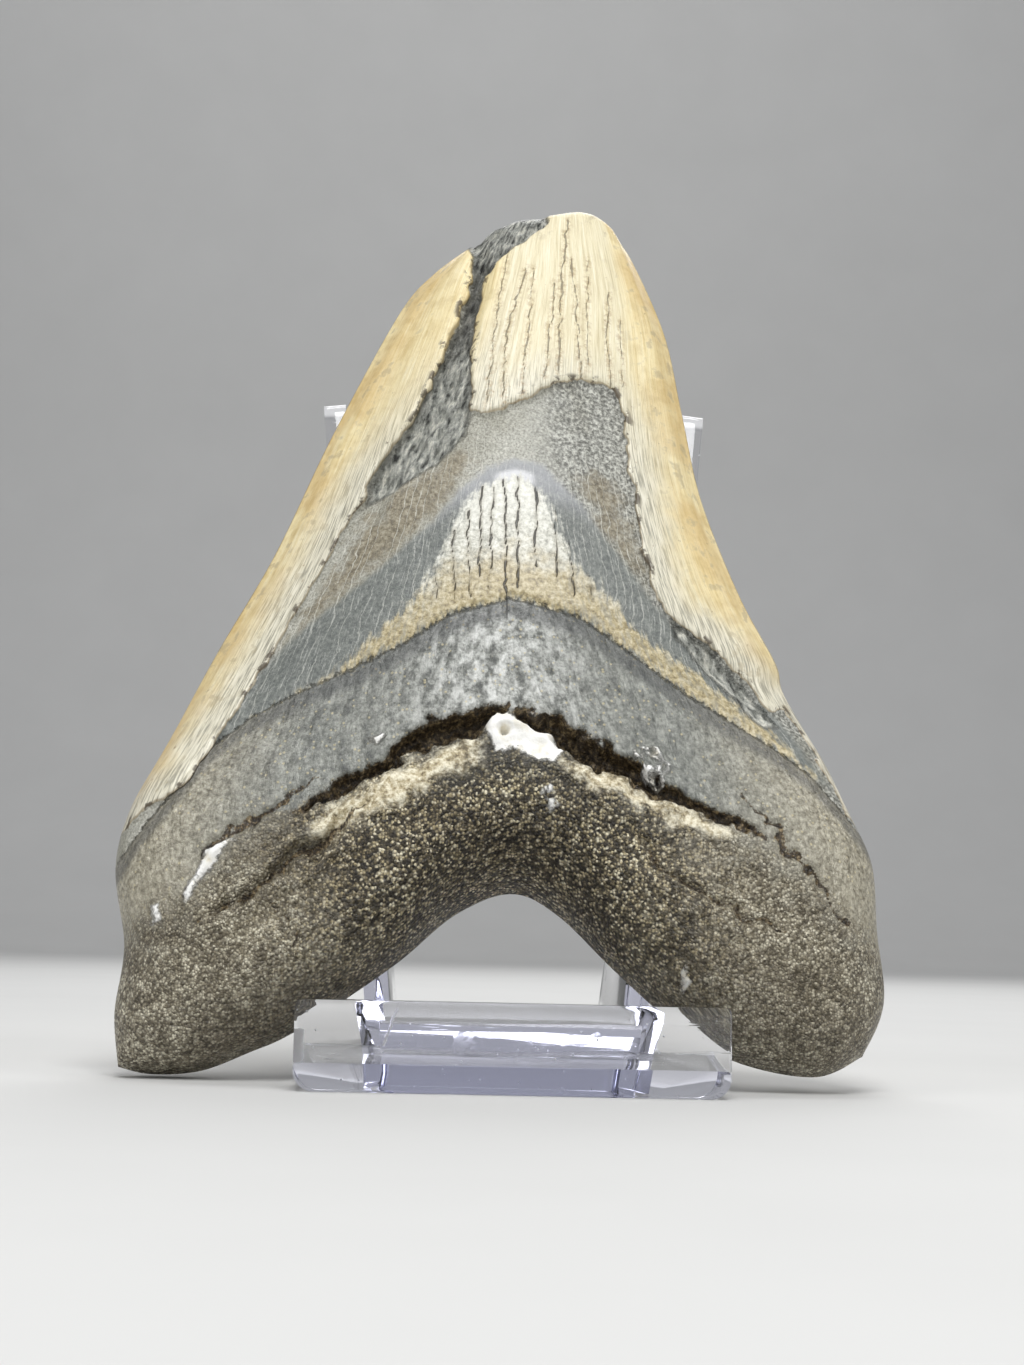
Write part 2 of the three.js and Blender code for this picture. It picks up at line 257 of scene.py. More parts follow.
@dataclass(frozen=True)
class ToothForm:
    """The tooth's plain form: outline, bulge and lean, in millimetres."""

    lean: float = math.radians(17)
    turn: float = math.radians(-1.9)
    foot: float = -18.6
    left: Points = (
        (-47.5, 1.2), (-48.5, 7.5), (-48.1, 16), (-50.2, 26), (-49.2, 34), (-45.8, 42.7),
        (-39.9, 57.3), (-33, 72.7), (-26.1, 92), (-17.7, 112.4), (-13, 119.5), (-7.7, 124.5))
    right: Points = (
        (44.5, 4.6), (47.4, 11), (47, 20), (46.8, 29), (44.2, 36.1), (41.1, 43.9), (36.4, 53.4),
        (35.4, 58), (30.7, 68.2), (25.8, 82.8), (23.3, 96.6), (20.9, 110), (16.3, 122.6), (13.5, 127.2))
    base: Points = (
        (-47.5, 1.2), (-43.4, 0.4), (-37.4, 0.9), (-31.6, 3.3), (-25.7, 6.3), (-14.3, 14.7), (-6.7, 21.7),
        (0.4, 24.7), (6.4, 22), (13.9, 14.7), (21.3, 8.1), (28.7, 3.6), (38.5, 1.9), (44.5, 4.6))
    tip: Points = (
        (-7.7, 124.5), (-5.6, 124.9), (-3.8, 126.9), (-0.4, 128.6),
        (3.3, 129.1), (8.2, 130.5), (11.1, 129.7), (13.5, 127.2))
    stations: Sequence[float] = (0, 0.1, 0.2, 0.3, 0.45, 0.6, 0.75, 0.9, 1)
    front_heights: Sequence[float] = (12.5, 15.2, 14.6, 13.2, 11.6, 9.8, 7.6, 5.2, 3.6)
    root_end: float = 0.22
    crown_start: float = 0.45
    lobe_fall: float = 0.38
    root_round: float = 9
    tip_round: float = 3.5
    root_back: float = 5.5
    back_round: float = 7.5
    crown_back: float = 4.6
    crown_back_taper: float = 1.6

    def plane(self, across: Array, up: Array) -> tuple[Array, Array, Array, Array]:
        """Blend the four outline runs over the whole face.

        Args:
            across: Share across, from 0 on the left to 1 on the right.
            up: Share up, from 0 at the base to 1 at the tip.

        Returns:
            The points of the plane, and their distances to the sides, the base and the tip.
        """
        flank_left, flank_right = Run(self.left).at(up), Run(self.right).at(up)
        bottom, top = Run(self.base).at(across), Run(self.tip).at(across)
        a, t = across[:, None], up[:, None]
        corners = (1 - a) * (1 - t) * np.array(self.base[0]) + a * (1 - t) * np.array(self.base[-1])
        corners = corners + (1 - a) * t * np.array(self.tip[0]) + a * t * np.array(self.tip[-1])
        place = (1 - t) * bottom + t * top + (1 - a) * flank_left + a * flank_right - corners
        to_side = np.minimum(np.hypot(*(place - flank_left).T), np.hypot(*(place - flank_right).T))
        return place, to_side, np.hypot(*(place - bottom).T), np.hypot(*(place - top).T)

    def heights(
        self, side: Array, up: Array, to_side: Array, to_base: Array, to_tip: Array,
    ) -> tuple[Array, Array]:
        """Bulge of the front and of the back above the plane.

        Args:
            side: Place across, from -1 to 1.
            up: Share up the tooth.
            to_side: Distance to the nearer flank.
            to_base: Distance to the base line.
            to_tip: Distance to the tip line.

        Returns:
            The front's heights and the back's heights.
        """
        root = 1 - smooth(self.root_end, self.crown_start, up)
        middle = np.interp(up, self.stations, self.front_heights)
        to_edge = to_side * to_base / np.maximum(np.hypot(to_side, to_base), NEAR_ZERO)
        tip_share = rounded(to_tip, self.tip_round)
        crown_front = middle * (1 - side ** 2) * tip_share
        root_front = middle * (1 - self.lobe_fall * side ** 2) * rounded(to_edge, self.root_round)
        crown_back = (self.crown_back - self.crown_back_taper * up) * (1 - side ** 4) * tip_share
        crown_back = crown_back * rounded(to_side, self.back_round)
        root_back = self.root_back * rounded(to_edge, self.back_round)
        front = crown_front + root * (root_front - crown_front)
        return front, crown_back + root * (root_back - crown_back)

    def stand(self, place: Array, height: Array) -> Array:
        """Points of the leaning tooth, in metres, from places on its plane and heights above it."""
        rise, reach = math.cos(self.lean), math.sin(self.lean)
        depth = self.foot + place[:, 1] * reach - height * rise
        x = place[:, 0] * math.cos(self.turn) - depth * math.sin(self.turn)
        y = place[:, 0] * math.sin(self.turn) + depth * math.cos(self.turn)
        return np.stack([x, y, place[:, 1] * rise + height * reach], -1) * MM


@dataclass(frozen=True)
class Markings:
    """Outlines of the tooth's worn zones, cracks and crusts on its plane, in millimetres."""

    bare: Loop = Loop((
        (-60, -10), (-60, 26), (-48.2, 30.5), (-43.5, 33.5), (-40.4, 35), (-37.9, 41.2), (-34.8, 48.4),
        (-31.4, 55.4), (-27.8, 63.6), (-24.9, 69.4), (-22.5, 74.8), (-19.8, 80.9), (-16.8, 86.1),
        (-13.6, 92.4), (-11.1, 99.2), (-8.9, 107.3), (-7.4, 114.7), (-6.1, 121.6), (-4.7, 121.2),
        (-5.6, 113.3), (-6.5, 105.7), (-6.7, 97.5), (-6.6, 89.9), (-2.5, 90.3), (0.2, 92.1),
        (2.9, 94.4), (5.7, 96.4), (8.5, 97.4), (11.3, 96.9), (13.6, 95.9), (14.4, 92.4), (15.2, 85.8),
        (15.8, 79.2), (16.7, 71.1), (18.6, 63.4), (20.4, 60.6), (23.4, 59.1), (26.8, 56.9),
        (30.8, 53.1), (34, 48.9), (36, 50.5), (39.5, 43.5), (43, 35.5), (60, 34), (60, -10)))
    remnant: Loop = Loop((
        (39.3, 42.1), (40.9, 43.6), (46, 34), (42.6, 34.6), (42.2, 37.4)))
    cream: Loop = Loop((
        (-24.1, 49), (-19.8, 53.6), (-16, 57.8), (-12.2, 62.2), (-9.9, 67.4), (-8, 72.8), (-6.1, 76.8),
        (-3.7, 78.7), (-0.3, 80), (1.8, 79.4), (4.3, 76.4), (5.9, 71.8), (7.9, 67.3), (11.3, 63.3),
        (15.9, 57.9), (21.8, 54), (28.5, 49.8), (34, 45), (39, 39.6), (33.3, 43), (26.8, 46.8),
        (21.7, 49.6), (13.8, 55), (8.6, 58.4), (-0.2, 60.6), (-8.1, 58.1), (-14.5, 53.8), (-21.4, 50.4),
        (-27.2, 48.3), (-33, 45)))
    slate: Loop = Loop((
        (-41, 38), (-35, 50.2), (-29.4, 57.3), (-23, 62.3), (-16.6, 67.5), (-11.4, 72.4), (-7.6, 77.7),
        (-3.5, 81.4), (-0.3, 83), (3.7, 82), (7.8, 77.6), (11.2, 72.9), (14.6, 68.1), (18, 63.4),
        (21, 60), (28, 55), (35, 48), (41, 38), (33.3, 43), (21.7, 49.6), (8.6, 58.4), (-0.2, 60.6),
        (-14.5, 53.8), (-27.2, 48.3)))
    rust: Sequence[Loop] = (
        Loop(((-24.7, 66.8), (-20.4, 75.1), (-15.8, 80.7), (-11.7, 82.4), (-7.1, 84.3), (-5.2, 82.2),
            (-7.6, 77.7), (-11.4, 72.4), (-16.6, 67.5), (-23, 62.3), (-28, 57), (-32, 54.5))),
        Loop(((7.2, 80.6), (10.6, 82.6), (14.1, 80.3), (15.4, 75.8), (16.7, 69.6), (18.2, 64.2),
            (14.6, 68.1), (11.2, 72.9))))
    fractures: Sequence[Loop] = (
        Loop(((-6.6, 118.6), (-5.2, 118.4), (-5.9, 112.5), (-6.5, 105.7), (-6.7, 97.5), (-6.6, 89.9),
            (-7.1, 86), (-10.4, 82.7), (-14.4, 80.3), (-17.8, 78.5), (-20.5, 77.7), (-19.8, 80.9),
            (-16.8, 86.1), (-13.6, 92.4), (-11.1, 99.2), (-8.4, 107.3), (-7.4, 113))),
        Loop(((20.4, 60.6), (24.3, 58.6), (28.5, 54.7), (31.9, 50.6), (34.7, 46.7), (32.6, 45.9),
            (28.7, 50.4), (24.2, 54.8), (21.2, 58.4))))
    broken_tip: Loop = Loop((
        (-6.3, 116.4), (-7.4, 121), (-8.5, 126), (-3, 131), (4.5, 131), (3.4, 125.6), (1.4, 123),
        (-2.2, 119.6), (-4.4, 116.5)))
    ridge: Points = (
        (-60, 20), (-48, 27), (-42.5, 33.8), (-37.9, 41.2), (-33.7, 45), (-27.2, 48.3), (-21.4, 50.4),
        (-14.5, 53.8), (-8.1, 58.1), (-0.2, 60.6), (8.6, 58.4), (13.8, 55), (21.7, 49.6), (26.8, 46.8),
        (33.3, 43), (38.4, 39.3), (44, 33), (60, 22))
    root_line: Points = (
        (-60, 15), (-45, 19.5), (-39, 21), (-31.3, 30), (-25.8, 31.5), (-17.9, 34.5), (-11.3, 39.4),
        (-5.2, 42.4), (0, 44.4), (4.3, 43.4), (12.5, 38), (17.3, 34.8), (23.7, 31.8), (30, 29),
        (36, 26), (42, 20), (60, 14))
    ledges: Sequence[Loop] = (
        Loop(((-25, 29.4), (-17.9, 33), (-13.5, 35.8), (-9.5, 38), (-5.5, 39.8), (-3.5, 39.6),
            (-3.7, 36.5), (-8, 34.6), (-13, 31), (-17, 29.2), (-22, 27))),
        Loop(((6.1, 38.1), (11.7, 36.3), (17, 34.1), (23, 31.6), (29, 28.6), (24, 28.4), (17.4, 31),
            (11.1, 33), (7, 35))))
    crusts: Sequence[Loop] = (
        Loop(((-2.9, 42.6), (-2, 43.8), (-0.4, 43.9), (1.3, 43), (2.8, 42.5), (4.9, 41.2), (6.5, 38.6),
            (5.8, 36.6), (3.7, 37.1), (2, 38.1), (0.5, 38.6), (-0.5, 38.1), (-2, 38.2), (-2.8, 40.6))),
        Loop(((-37.2, 25.7), (-35.9, 26.4), (-33.5, 26.9), (-35.1, 25.2), (-36.3, 23.6), (-37.4, 22.4),
            (-38.1, 20.8), (-39.3, 19), (-39.1, 21), (-38.2, 23.2))),
        Loop(((-43.2, 19), (-42.6, 19.4), (-42.2, 17.7), (-42.9, 16.5))))
    crust_threads: Sequence[tuple[Points, float]] = (
        (((16.4, 39.2), (17.2, 40), (18.6, 39.5), (19.5, 38.2), (19.4, 36.6)), 0.5),
        (((16.8, 38.4), (17.2, 36.6), (18.6, 34.9), (19.3, 36.2)), 0.4),
        (((17.2, 38.9), (18.4, 37.6), (18.2, 36.4)), 0.35))
    crust_dots: Sequence[tuple[float, float, float]] = (
        (-16.7, 40.1, 0.8), (4.5, 33.4, 0.6), (5, 32, 0.5), (0.3, 22.6, 0.9), (21.7, 11.2, 0.6),
        (22, 12, 0.35))
    furrows: Sequence[Furrow] = (
        Furrow(((-26, 30.6), (-18, 35), (-14.5, 37.6), (-10.5, 40.4), (-5.2, 42), (0, 43.6)),
            (0.6, 1.2, 1.4, 1.9, 2.4, 2.0), 3.4, 0.04, 0.85),
        Furrow(((0, 43.6), (4.3, 42.2), (8.5, 40), (12.5, 37.6), (17, 35.4), (21.2, 33.4), (28.5, 30.4),
            (32, 28)), (2.0, 2.2, 2.3, 2.0, 1.4, 1.0, 0.8, 0.5), 3.4, 0.04, 0.85),
        Furrow(((-39, 20), (-36.2, 26.2), (-31.3, 30), (-22.8, 34.6)),
            (0.5, 0.9, 1.0, 0.5), 1.5, dark=0.4),
        Furrow(((-37.5, 16), (-30, 21.4), (-23.4, 26.6), (-18.5, 30)),
            (0.5, 1.3, 2.1, 1.0), 1.8, dark=0.24),
        Furrow(((-28.6, 18.4), (-25.4, 14.7), (-24.6, 13)), (0.4, 0.8, 0.4), 1.2, dark=0.3),
        Furrow(((29, 35.2), (34.2, 28.7), (38.3, 23.3), (42, 18.8)),
            (0.4, 0.8, 0.8, 0.4), 1.5, dark=0.5),
        Furrow(((15.4, 27), (17.9, 24), (21.2, 22), (25, 20.4), (31, 18.2), (34.8, 16.3)),
            (0.4, 0.9, 1, 0.9, 0.8, 0.3), 1.3, dark=0.3))
    cracks: Sequence[tuple[Points, float]] = (
        (((-10.2, 65.3), (-10.1, 60.2)), 0.09), (((-8.3, 71.3), (-7.9, 66), (-7.5, 60.3)), 0.11),
        (((-6.5, 74.2), (-5.8, 60.6)), 0.13), (((-4.7, 78.1), (-4.5, 63.5)), 0.15),
        (((-3.2, 78), (-3.1, 60.7)), 0.13), (((-1.7, 79.1), (-0.8, 57.1)), 0.16),
        (((0.2, 79.7), (0.4, 62.1)), 0.15), (((2.6, 78.3), (2.7, 65.5)), 0.14),
        (((5, 78.6), (5.5, 64.2)), 0.14), (((6.8, 76), (7.8, 61.5)), 0.12),
        (((9.6, 66.2), (10.2, 62.1)), 0.09), (((-2, 119.2), (-3.3, 107.4), (-4.3, 90.6)), 0.07),
        (((0.6, 116.4), (-1.9, 102.9), (-1.9, 90.8)), 0.1),
        (((1.6, 116.5), (1, 103), (0.3, 91.9)), 0.09), (((5, 114), (4, 103.1), (3.7, 96.3)), 0.1),
        (((6.5, 126.3), (5.7, 112.3), (5.5, 97.4)), 0.11),
        (((7.1, 118.9), (8.3, 104), (8.6, 97.3)), 0.1),
        (((9.8, 119.4), (9.4, 112.8), (9.6, 99.1)), 0.07),
        (((12.6, 113.9), (12.3, 105), (13, 96.9)), 0.07), (((14.4, 109.1), (14.4, 97.2)), 0.06))
    lit_crests: Sequence[Furrow] = (
        Furrow(((-24, 26.5), (-14, 33), (-6, 37.4), (0, 38.6), (6, 37.4), (14, 32), (22, 26.6)),
            (3,), -0.9),
        Furrow(((-38, 14), (-32.8, 17.6), (-29.3, 19.3), (-25.6, 21.8), (-22, 24.5), (-17.5, 27.8)),
            (1.5,), -1.1),
        Furrow(((14.6, 25.4), (16.9, 22.5), (20.5, 20.4), (24, 18.8), (30, 16.6)), (1.5,), -0.8))
    crown_fracture: Furrow = Furrow((
        (-5.6, 121), (-6.4, 113), (-8, 104), (-11, 94), (-16, 84), (-22, 72.5)), (2.6,), 1.0)


@dataclass
class ToothRelief:
    """Zones and heights that wear and breakage give the tooth's front and back, in millimetres."""

    marks: Markings
    enamel_step: float = 0.9
    rim_margin: float = 3.0
    line_slope: float = 0.75  # turns a height over a sloping line into a distance from it
    ragged: Drift = Drift(Grain(3, 2.6, 3), Grain(4, 2.6, 3))
    crumbly: Drift = Drift(Grain(16, 1.5, 3), Grain(17, 1.5, 3))
    stain_shift: float = 0.4
    nick_shift: float = 0.7
    enamel_shift: float = 0.6
    torn_shifts: tuple[float, float] = (1.1, 0.9)
    crust_height: float = 0.9
    crust_lumps: Grain = Grain(9, 2.2, 3, height=0.7)
    crust_fray: Drift = Drift(Grain(18, 0.9, 2, height=0.9), Grain(19, 0.9, 2, height=0.9))
    thread_swell: Grain = Grain(22, 1.4, 2, height=0.8)
    hole_place: tuple[float, float] = (-0.8, 41.1)
    hole_depth: float = 1.4
    crack_sway: Grain = Grain(20, 1.6, 3, height=0.45)
    crack_swell: Grain = Grain(21, 2.4, 2, height=0.55)
    fracture_drop: float = -0.5
    splinters: Grain = Grain(5, 1.5, 4, stretch=1.8, height=1.4)
    tip_drop: float = -1.5
    tip_chips: Grain = Grain(6, 2.0, 3, height=0.9)
    root_lumps: Sequence[Grain] = (
        Grain(7, 6.5, 4, height=0.6), Grain(23, 2.6, 2, height=0.25), Grain(8, 1.1, 2, height=0.2))
    wrinkles: Grain = Grain(10, 1.5, 3, stretch=3)
    wrinkle_height: float = 0.16
    ripples: Grain = Grain(11, 1.3, 3)
    ripple_height: float = 0.07
    ridge_step: float = 0.22
    ridge_groove: float = 0.35
    ridge_groove_half: float = 0.7
    outside: float = -20.0
    back_edge: float = 33
    back_arch: float = 11
    back_slope: float = 0.8
    back_wave: Grain = Grain(12, 4, 3, height=0.8)
    back_sharpness: float = 4
    back_neck: float = 1.5
    back_step: float = 0.5
    back_lumps: Sequence[Grain] = (Grain(13, 6, 4, height=0.5), Grain(14, 1.2, 2, height=0.2))
    back_swell: Grain = Grain(15, 9, 2, height=0.15)

    def front(self, place: Array) -> tuple[Zones, Array]:
        """Read the front.

        Args:
            place: Points of the tooth's plane, one row each.

        Returns:
            The zone fields by name, and the height to add.
        """
        marks = self.marks
        ragged, crumbly = self.ragged.read(place), self.crumbly.read(place)
        stained = place + self.stain_shift * ragged
        nicked = place + self.nick_shift * ragged
        stepped = nicked + self.enamel_shift * crumbly
        torn = place + self.torn_shifts[0] * ragged + self.torn_shifts[1] * crumbly
        ridge_level = np.interp(place[:, 0], *np.array(marks.ridge).T)
        root_level = np.interp(place[:, 0], *np.array(marks.root_line).T)
        heights, cores = zip(*(furrow.read(torn) for furrow in marks.furrows))
        zones = {
            "enamel": np.maximum(-marks.bare.depth(stepped), marks.remnant.depth(stepped)),
            "cream": marks.cream.depth(stained),
            "slate": marks.slate.depth(stained),
            "ridge": self.line_slope * (place[:, 1] - ridge_level),
            "root": self.line_slope * (root_level - nicked[:, 1]),
            # the fissure field marks the furrows' cores, which are painted as shadow
            "fissure": np.max(cores, axis=0),
            "fracture": np.max([loop.depth(nicked) for loop in marks.fractures], axis=0),
            "rust": np.max([loop.depth(nicked) for loop in marks.rust], axis=0),
            "ledge": np.max([loop.depth(torn) for loop in marks.ledges], axis=0),
            "broken_tip": marks.broken_tip.depth(nicked),
            "crust": self.crust(place, nicked),
            "crack": self.crack(place),
        }
        height = np.sum(heights, axis=0) + sum(crest.read(torn)[0] for crest in marks.lit_crests)
        height = height + marks.crown_fracture.read(nicked)[0]
        filled = smooth(-0.3, 0.9, zones["crust"])
        from_hole = np.hypot(*(place - self.hole_place).T)
        lump = self.crust_height + self.crust_lumps.read(place)
        lump = lump - self.hole_depth * smooth(1.0, 0.3, from_hole)
        height = height * (1 - filled) + filled * lump
        return zones, height + self.wear(place, zones)

    def crust(self, place: Array, nicked: Array) -> Array:
        """Distance inside the white crusts.

        Args:
            place: Points of the plane.
            nicked: The same points, moved by noise for ragged edges.

        Returns:
            The distance, positive inside.
        """
        fields = [loop.depth(nicked) for loop in self.marks.crusts]
        frayed = nicked + self.crust_fray.read(place)
        swell = 0.9 + self.thread_swell.read(place)
        for path, half in self.marks.crust_threads:
            fields.append(half * swell - Run(path, steps=6).nearest(frayed)[0])
        for u, v, size in self.marks.crust_dots:
            fields.append(size - np.hypot(frayed[:, 0] - u, frayed[:, 1] - v))
        return np.max(fields, axis=0)

    def crack(self, place: Array) -> Array:
        """Distance inside the hairline cracks of the cream patch and the tip."""
        swayed = place.copy()
        swayed[:, 0] += self.crack_sway.read(place)
        swell = 0.75 + self.crack_swell.read(place)
        fields = [half * swell - Run(path, steps=4).nearest(swayed)[0] for path, half in self.marks.cracks]
        return np.max(fields, axis=0)

    def wear(self, place: Array, zones: Zones) -> Array:
        """Height of the enamel coat, the rough fracture and the root's lumps.

        Args:
            place: Points of the plane.
            zones: The zone fields.

        Returns:
            The height at each place.
        """
        enamel, ridge = zones["enamel"], zones["ridge"]
        rooted = smooth(-1.5, 1.5, zones["root"])
        broken = self.fracture_drop + self.splinters.read(place)
        chipped = self.tip_drop + self.tip_chips.read(place)
        height = self.enamel_step * smooth(-0.3, 0.3, enamel)
        height = height + smooth(-0.6, 1.2, zones["fracture"]) * broken
        height = height + smooth(-0.4, 1.0, zones["broken_tip"]) * chipped
        height = height + rooted * sum(grain.read(place) for grain in self.root_lumps)
        wrinkled = self.wrinkle_height * smooth(1.5, -1.5, ridge) * self.wrinkles.read(place)
        rippled = self.ripple_height * smooth(0.5, -0.5, enamel) * self.ripples.read(place)
        step = self.ridge_step * smooth(-0.5, 0.5, ridge)
        groove = self.ridge_groove * np.exp(-(ridge / self.ridge_groove_half) ** 2)
        return height + (wrinkled + rippled + step - groove) * (1 - rooted)

    def back(self, place: Array, side: Array) -> tuple[Zones, Array]:
        """Read the back, which is whole enamel above a plain root.

        Args:
            place: Points of the tooth's plane, one row each.
            side: Place across, from -1 to 1.

        Returns:
            The zone fields by name, and the height to add.
        """
        edge = self.back_edge + self.back_arch * (1 - side ** 2)
        enamel = self.back_slope * (place[:, 1] - edge) + self.back_wave.read(place)
        zones = {name: np.full(len(place), self.outside) for layer in Layer for name in layer.value}
        zones.update(enamel=self.back_sharpness * enamel, ridge=enamel, root=-self.back_neck - enamel)
        rooted = smooth(-1.5, 1.5, zones["root"])
        lumps = rooted * sum(grain.read(place) for grain in self.back_lumps)
        return zones, lumps + self.back_step * smooth(-0.4, 0.4, enamel) + self.back_swell.read(place)


@dataclass(frozen=True)
class Field:
    """A number, colour or vector of a node tree, with the sums that the finishes write on it."""

    board: "Board"
    socket: Socket

    def math(self, operation: str, other: Number = 0.0) -> "Field":
        """Combine this number with another."""
        return self.board.field(0, "ShaderNodeMath", {0: self, 1: other}, operation=operation)

    def __add__(self, other: Number) -> "Field":
        """Sum of two numbers."""
        return self.math("ADD", other)

    def __sub__(self, other: Number) -> "Field":
        """Difference of two numbers."""
        return self.math("SUBTRACT", other)

    def __mul__(self, other: Number) -> "Field":
        """Product of two numbers."""
        return self.math("MULTIPLY", other)

    def __truediv__(self, other: Number) -> "Field":
        """Quotient of two numbers."""
        return self.math("DIVIDE", other)

    def __abs__(self) -> "Field":
        """Size of a number."""
        return self.math("ABSOLUTE")

    def step(self, low: float, high: float) -> "Field":
        """Ease from 0 at low to 1 at high, or down where low is the greater."""
        inputs = {
            "Value": self, "From Min": min(low, high), "From Max": max(low, high),
            "To Min": float(low > high), "To Max": float(high > low)}
        return self.board.field("Result", "ShaderNodeMapRange", inputs, interpolation_type="SMOOTHSTEP")

    def band(self, middle: float, inner: float, outer: float) -> "Field":
        """1 within the inner distance of a middle value, easing to 0 at the outer one."""
        return abs(self - middle).step(outer, inner)

    def blend(self, first: Number, second: Number) -> "Field":
        """Mix two numbers by this share of the second."""
        return self.board.field(0, "ShaderNodeMix", {0: self, 2: first, 3: second}, data_type="FLOAT")

    def dyed(self, share: Number, other: Union["Field", Colour], way: str = "MIX") -> "Field":
        """This colour with a share of another laid over it.

        Args:
            share: How much of the other colour is taken.
            other: The other colour, in the tree or as a display colour.
            way: How the two are blended.

        Returns:
            The blended colour.
        """
        over = other if isinstance(other, Field) else linear(other)
        inputs = {0: share, 6: self, 7: over}
        return self.board.field(2, "ShaderNodeMix", inputs, data_type="RGBA", blend_type=way)

    def layered(self, *layers: tuple[Number, Union["Field", Colour]]) -> "Field":
        """This colour with shares of others laid over it, one after another."""
        colour = self
        for share, other in layers:
            colour = colour.dyed(share, other)
        return colour

    def ramp(self, stops: Stops) -> "Field":
        """Colour by this number, through display colours at stops."""
        made = self.board.node("ShaderNodeValToRGB", {"Fac": self})
        elements = made.color_ramp.elements
        while len(elements) < len(stops):
            elements.new(0.5)
        for element, (position, colour) in zip(elements, stops):
            element.position = position
            element.color = linear(colour)
        return Field(self.board, made.outputs["Color"])

    def noise(self, scale: float, detail: float = 4, roughness: float = 0.6) -> "Field":
        """Noise from 0 to 1 at this vector."""
        inputs = {"Vector": self, "Scale": scale, "Detail": detail, "Roughness": roughness}
        return self.board.field("Fac", "ShaderNodeTexNoise", inputs)

    def cells(self, scale: float) -> tuple["Field", "Field"]:
        """Round cells at this vector: the distance from their middles, and a chance number for each."""
        made = self.board.node("ShaderNodeTexVoronoi", {"Vector": self, "Scale": scale})
        colour = Field(self.board, made.outputs["Color"])
        chance = self.board.field(0, "ShaderNodeSeparateColor", {"Color": colour})
        return Field(self.board, made.outputs["Distance"]), chance

    def parts(self) -> list["Field"]:
        """The three numbers of this vector."""
        made = self.board.node("ShaderNodeSeparateXYZ", {"Vector": self})
        return [Field(self.board, output) for output in made.outputs]


class Board:
    """A material's node tree."""

    def __init__(self, name: str) -> None:
        """Start an empty tree with its output node."""
        self.material = bpy.data.materials.new(name)
        self.material.use_nodes = True
        self.tree = self.material.node_tree
        self.tree.nodes.clear()
        self.output = self.tree.nodes.new("ShaderNodeOutputMaterial")

    def node(self, kind: str, inputs: Inputs | None = None, **settings: object) -> bpy.types.Node:
        """Add a node.

        Args:
            kind: The node's type name.
            inputs: Values or fields for its inputs, by name or number.
            **settings: Properties of the node.

        Returns:
            The node.
        """
        made = self.tree.nodes.new(kind)
        for key, value in settings.items():
            setattr(made, key, value)
        for key, value in (inputs or {}).items():
            if isinstance(value, Field):
                self.tree.links.new(value.socket, made.inputs[key])
            else:
                made.inputs[key].default_value = value
        return made

    def field(
        self, output: str | int, kind: str, inputs: Inputs | None = None, **settings: object,
    ) -> Field:
        """Add a node and return one of its outputs."""
        return Field(self, self.node(kind, inputs, **settings).outputs[output])

    def fields(self, layer: Layer) -> list[Field]:
        """The three fields of one of the mesh's attributes."""
        return self.field("Vector", "ShaderNodeAttribute", attribute_name=layer.attribute).parts()

    def place(self) -> Field:
        """Object coordinates."""
        return self.field("Object", "ShaderNodeTexCoord")

    def vector(self, x: Number, y: Number) -> Field:
        """A vector of two numbers, flat in its third."""
        return self.field(0, "ShaderNodeCombineXYZ", {"X": x, "Y": y})

    def shader(self, inputs: Inputs) -> bpy.types.Node:
        """Add the surface shader and link it to the output."""
        made = self.node("ShaderNodeBsdfPrincipled", inputs)
        self.tree.links.new(made.outputs["BSDF"], self.output.inputs["Surface"])
        return made


@dataclass(frozen=True)
class Coat:
    """One layer of the tooth's surface: its colour, roughness and height in millimetres."""

    colour: Field
    roughness: Number
    height: Number

    def under(self, mask: Field, upper: "Coat") -> "Coat":
        """This coat with another laid over it where the mask is 1."""
        return Coat(
            self.colour.dyed(mask, upper.colour),
            mask.blend(self.roughness, upper.roughness),
            mask.blend(self.height, upper.height))


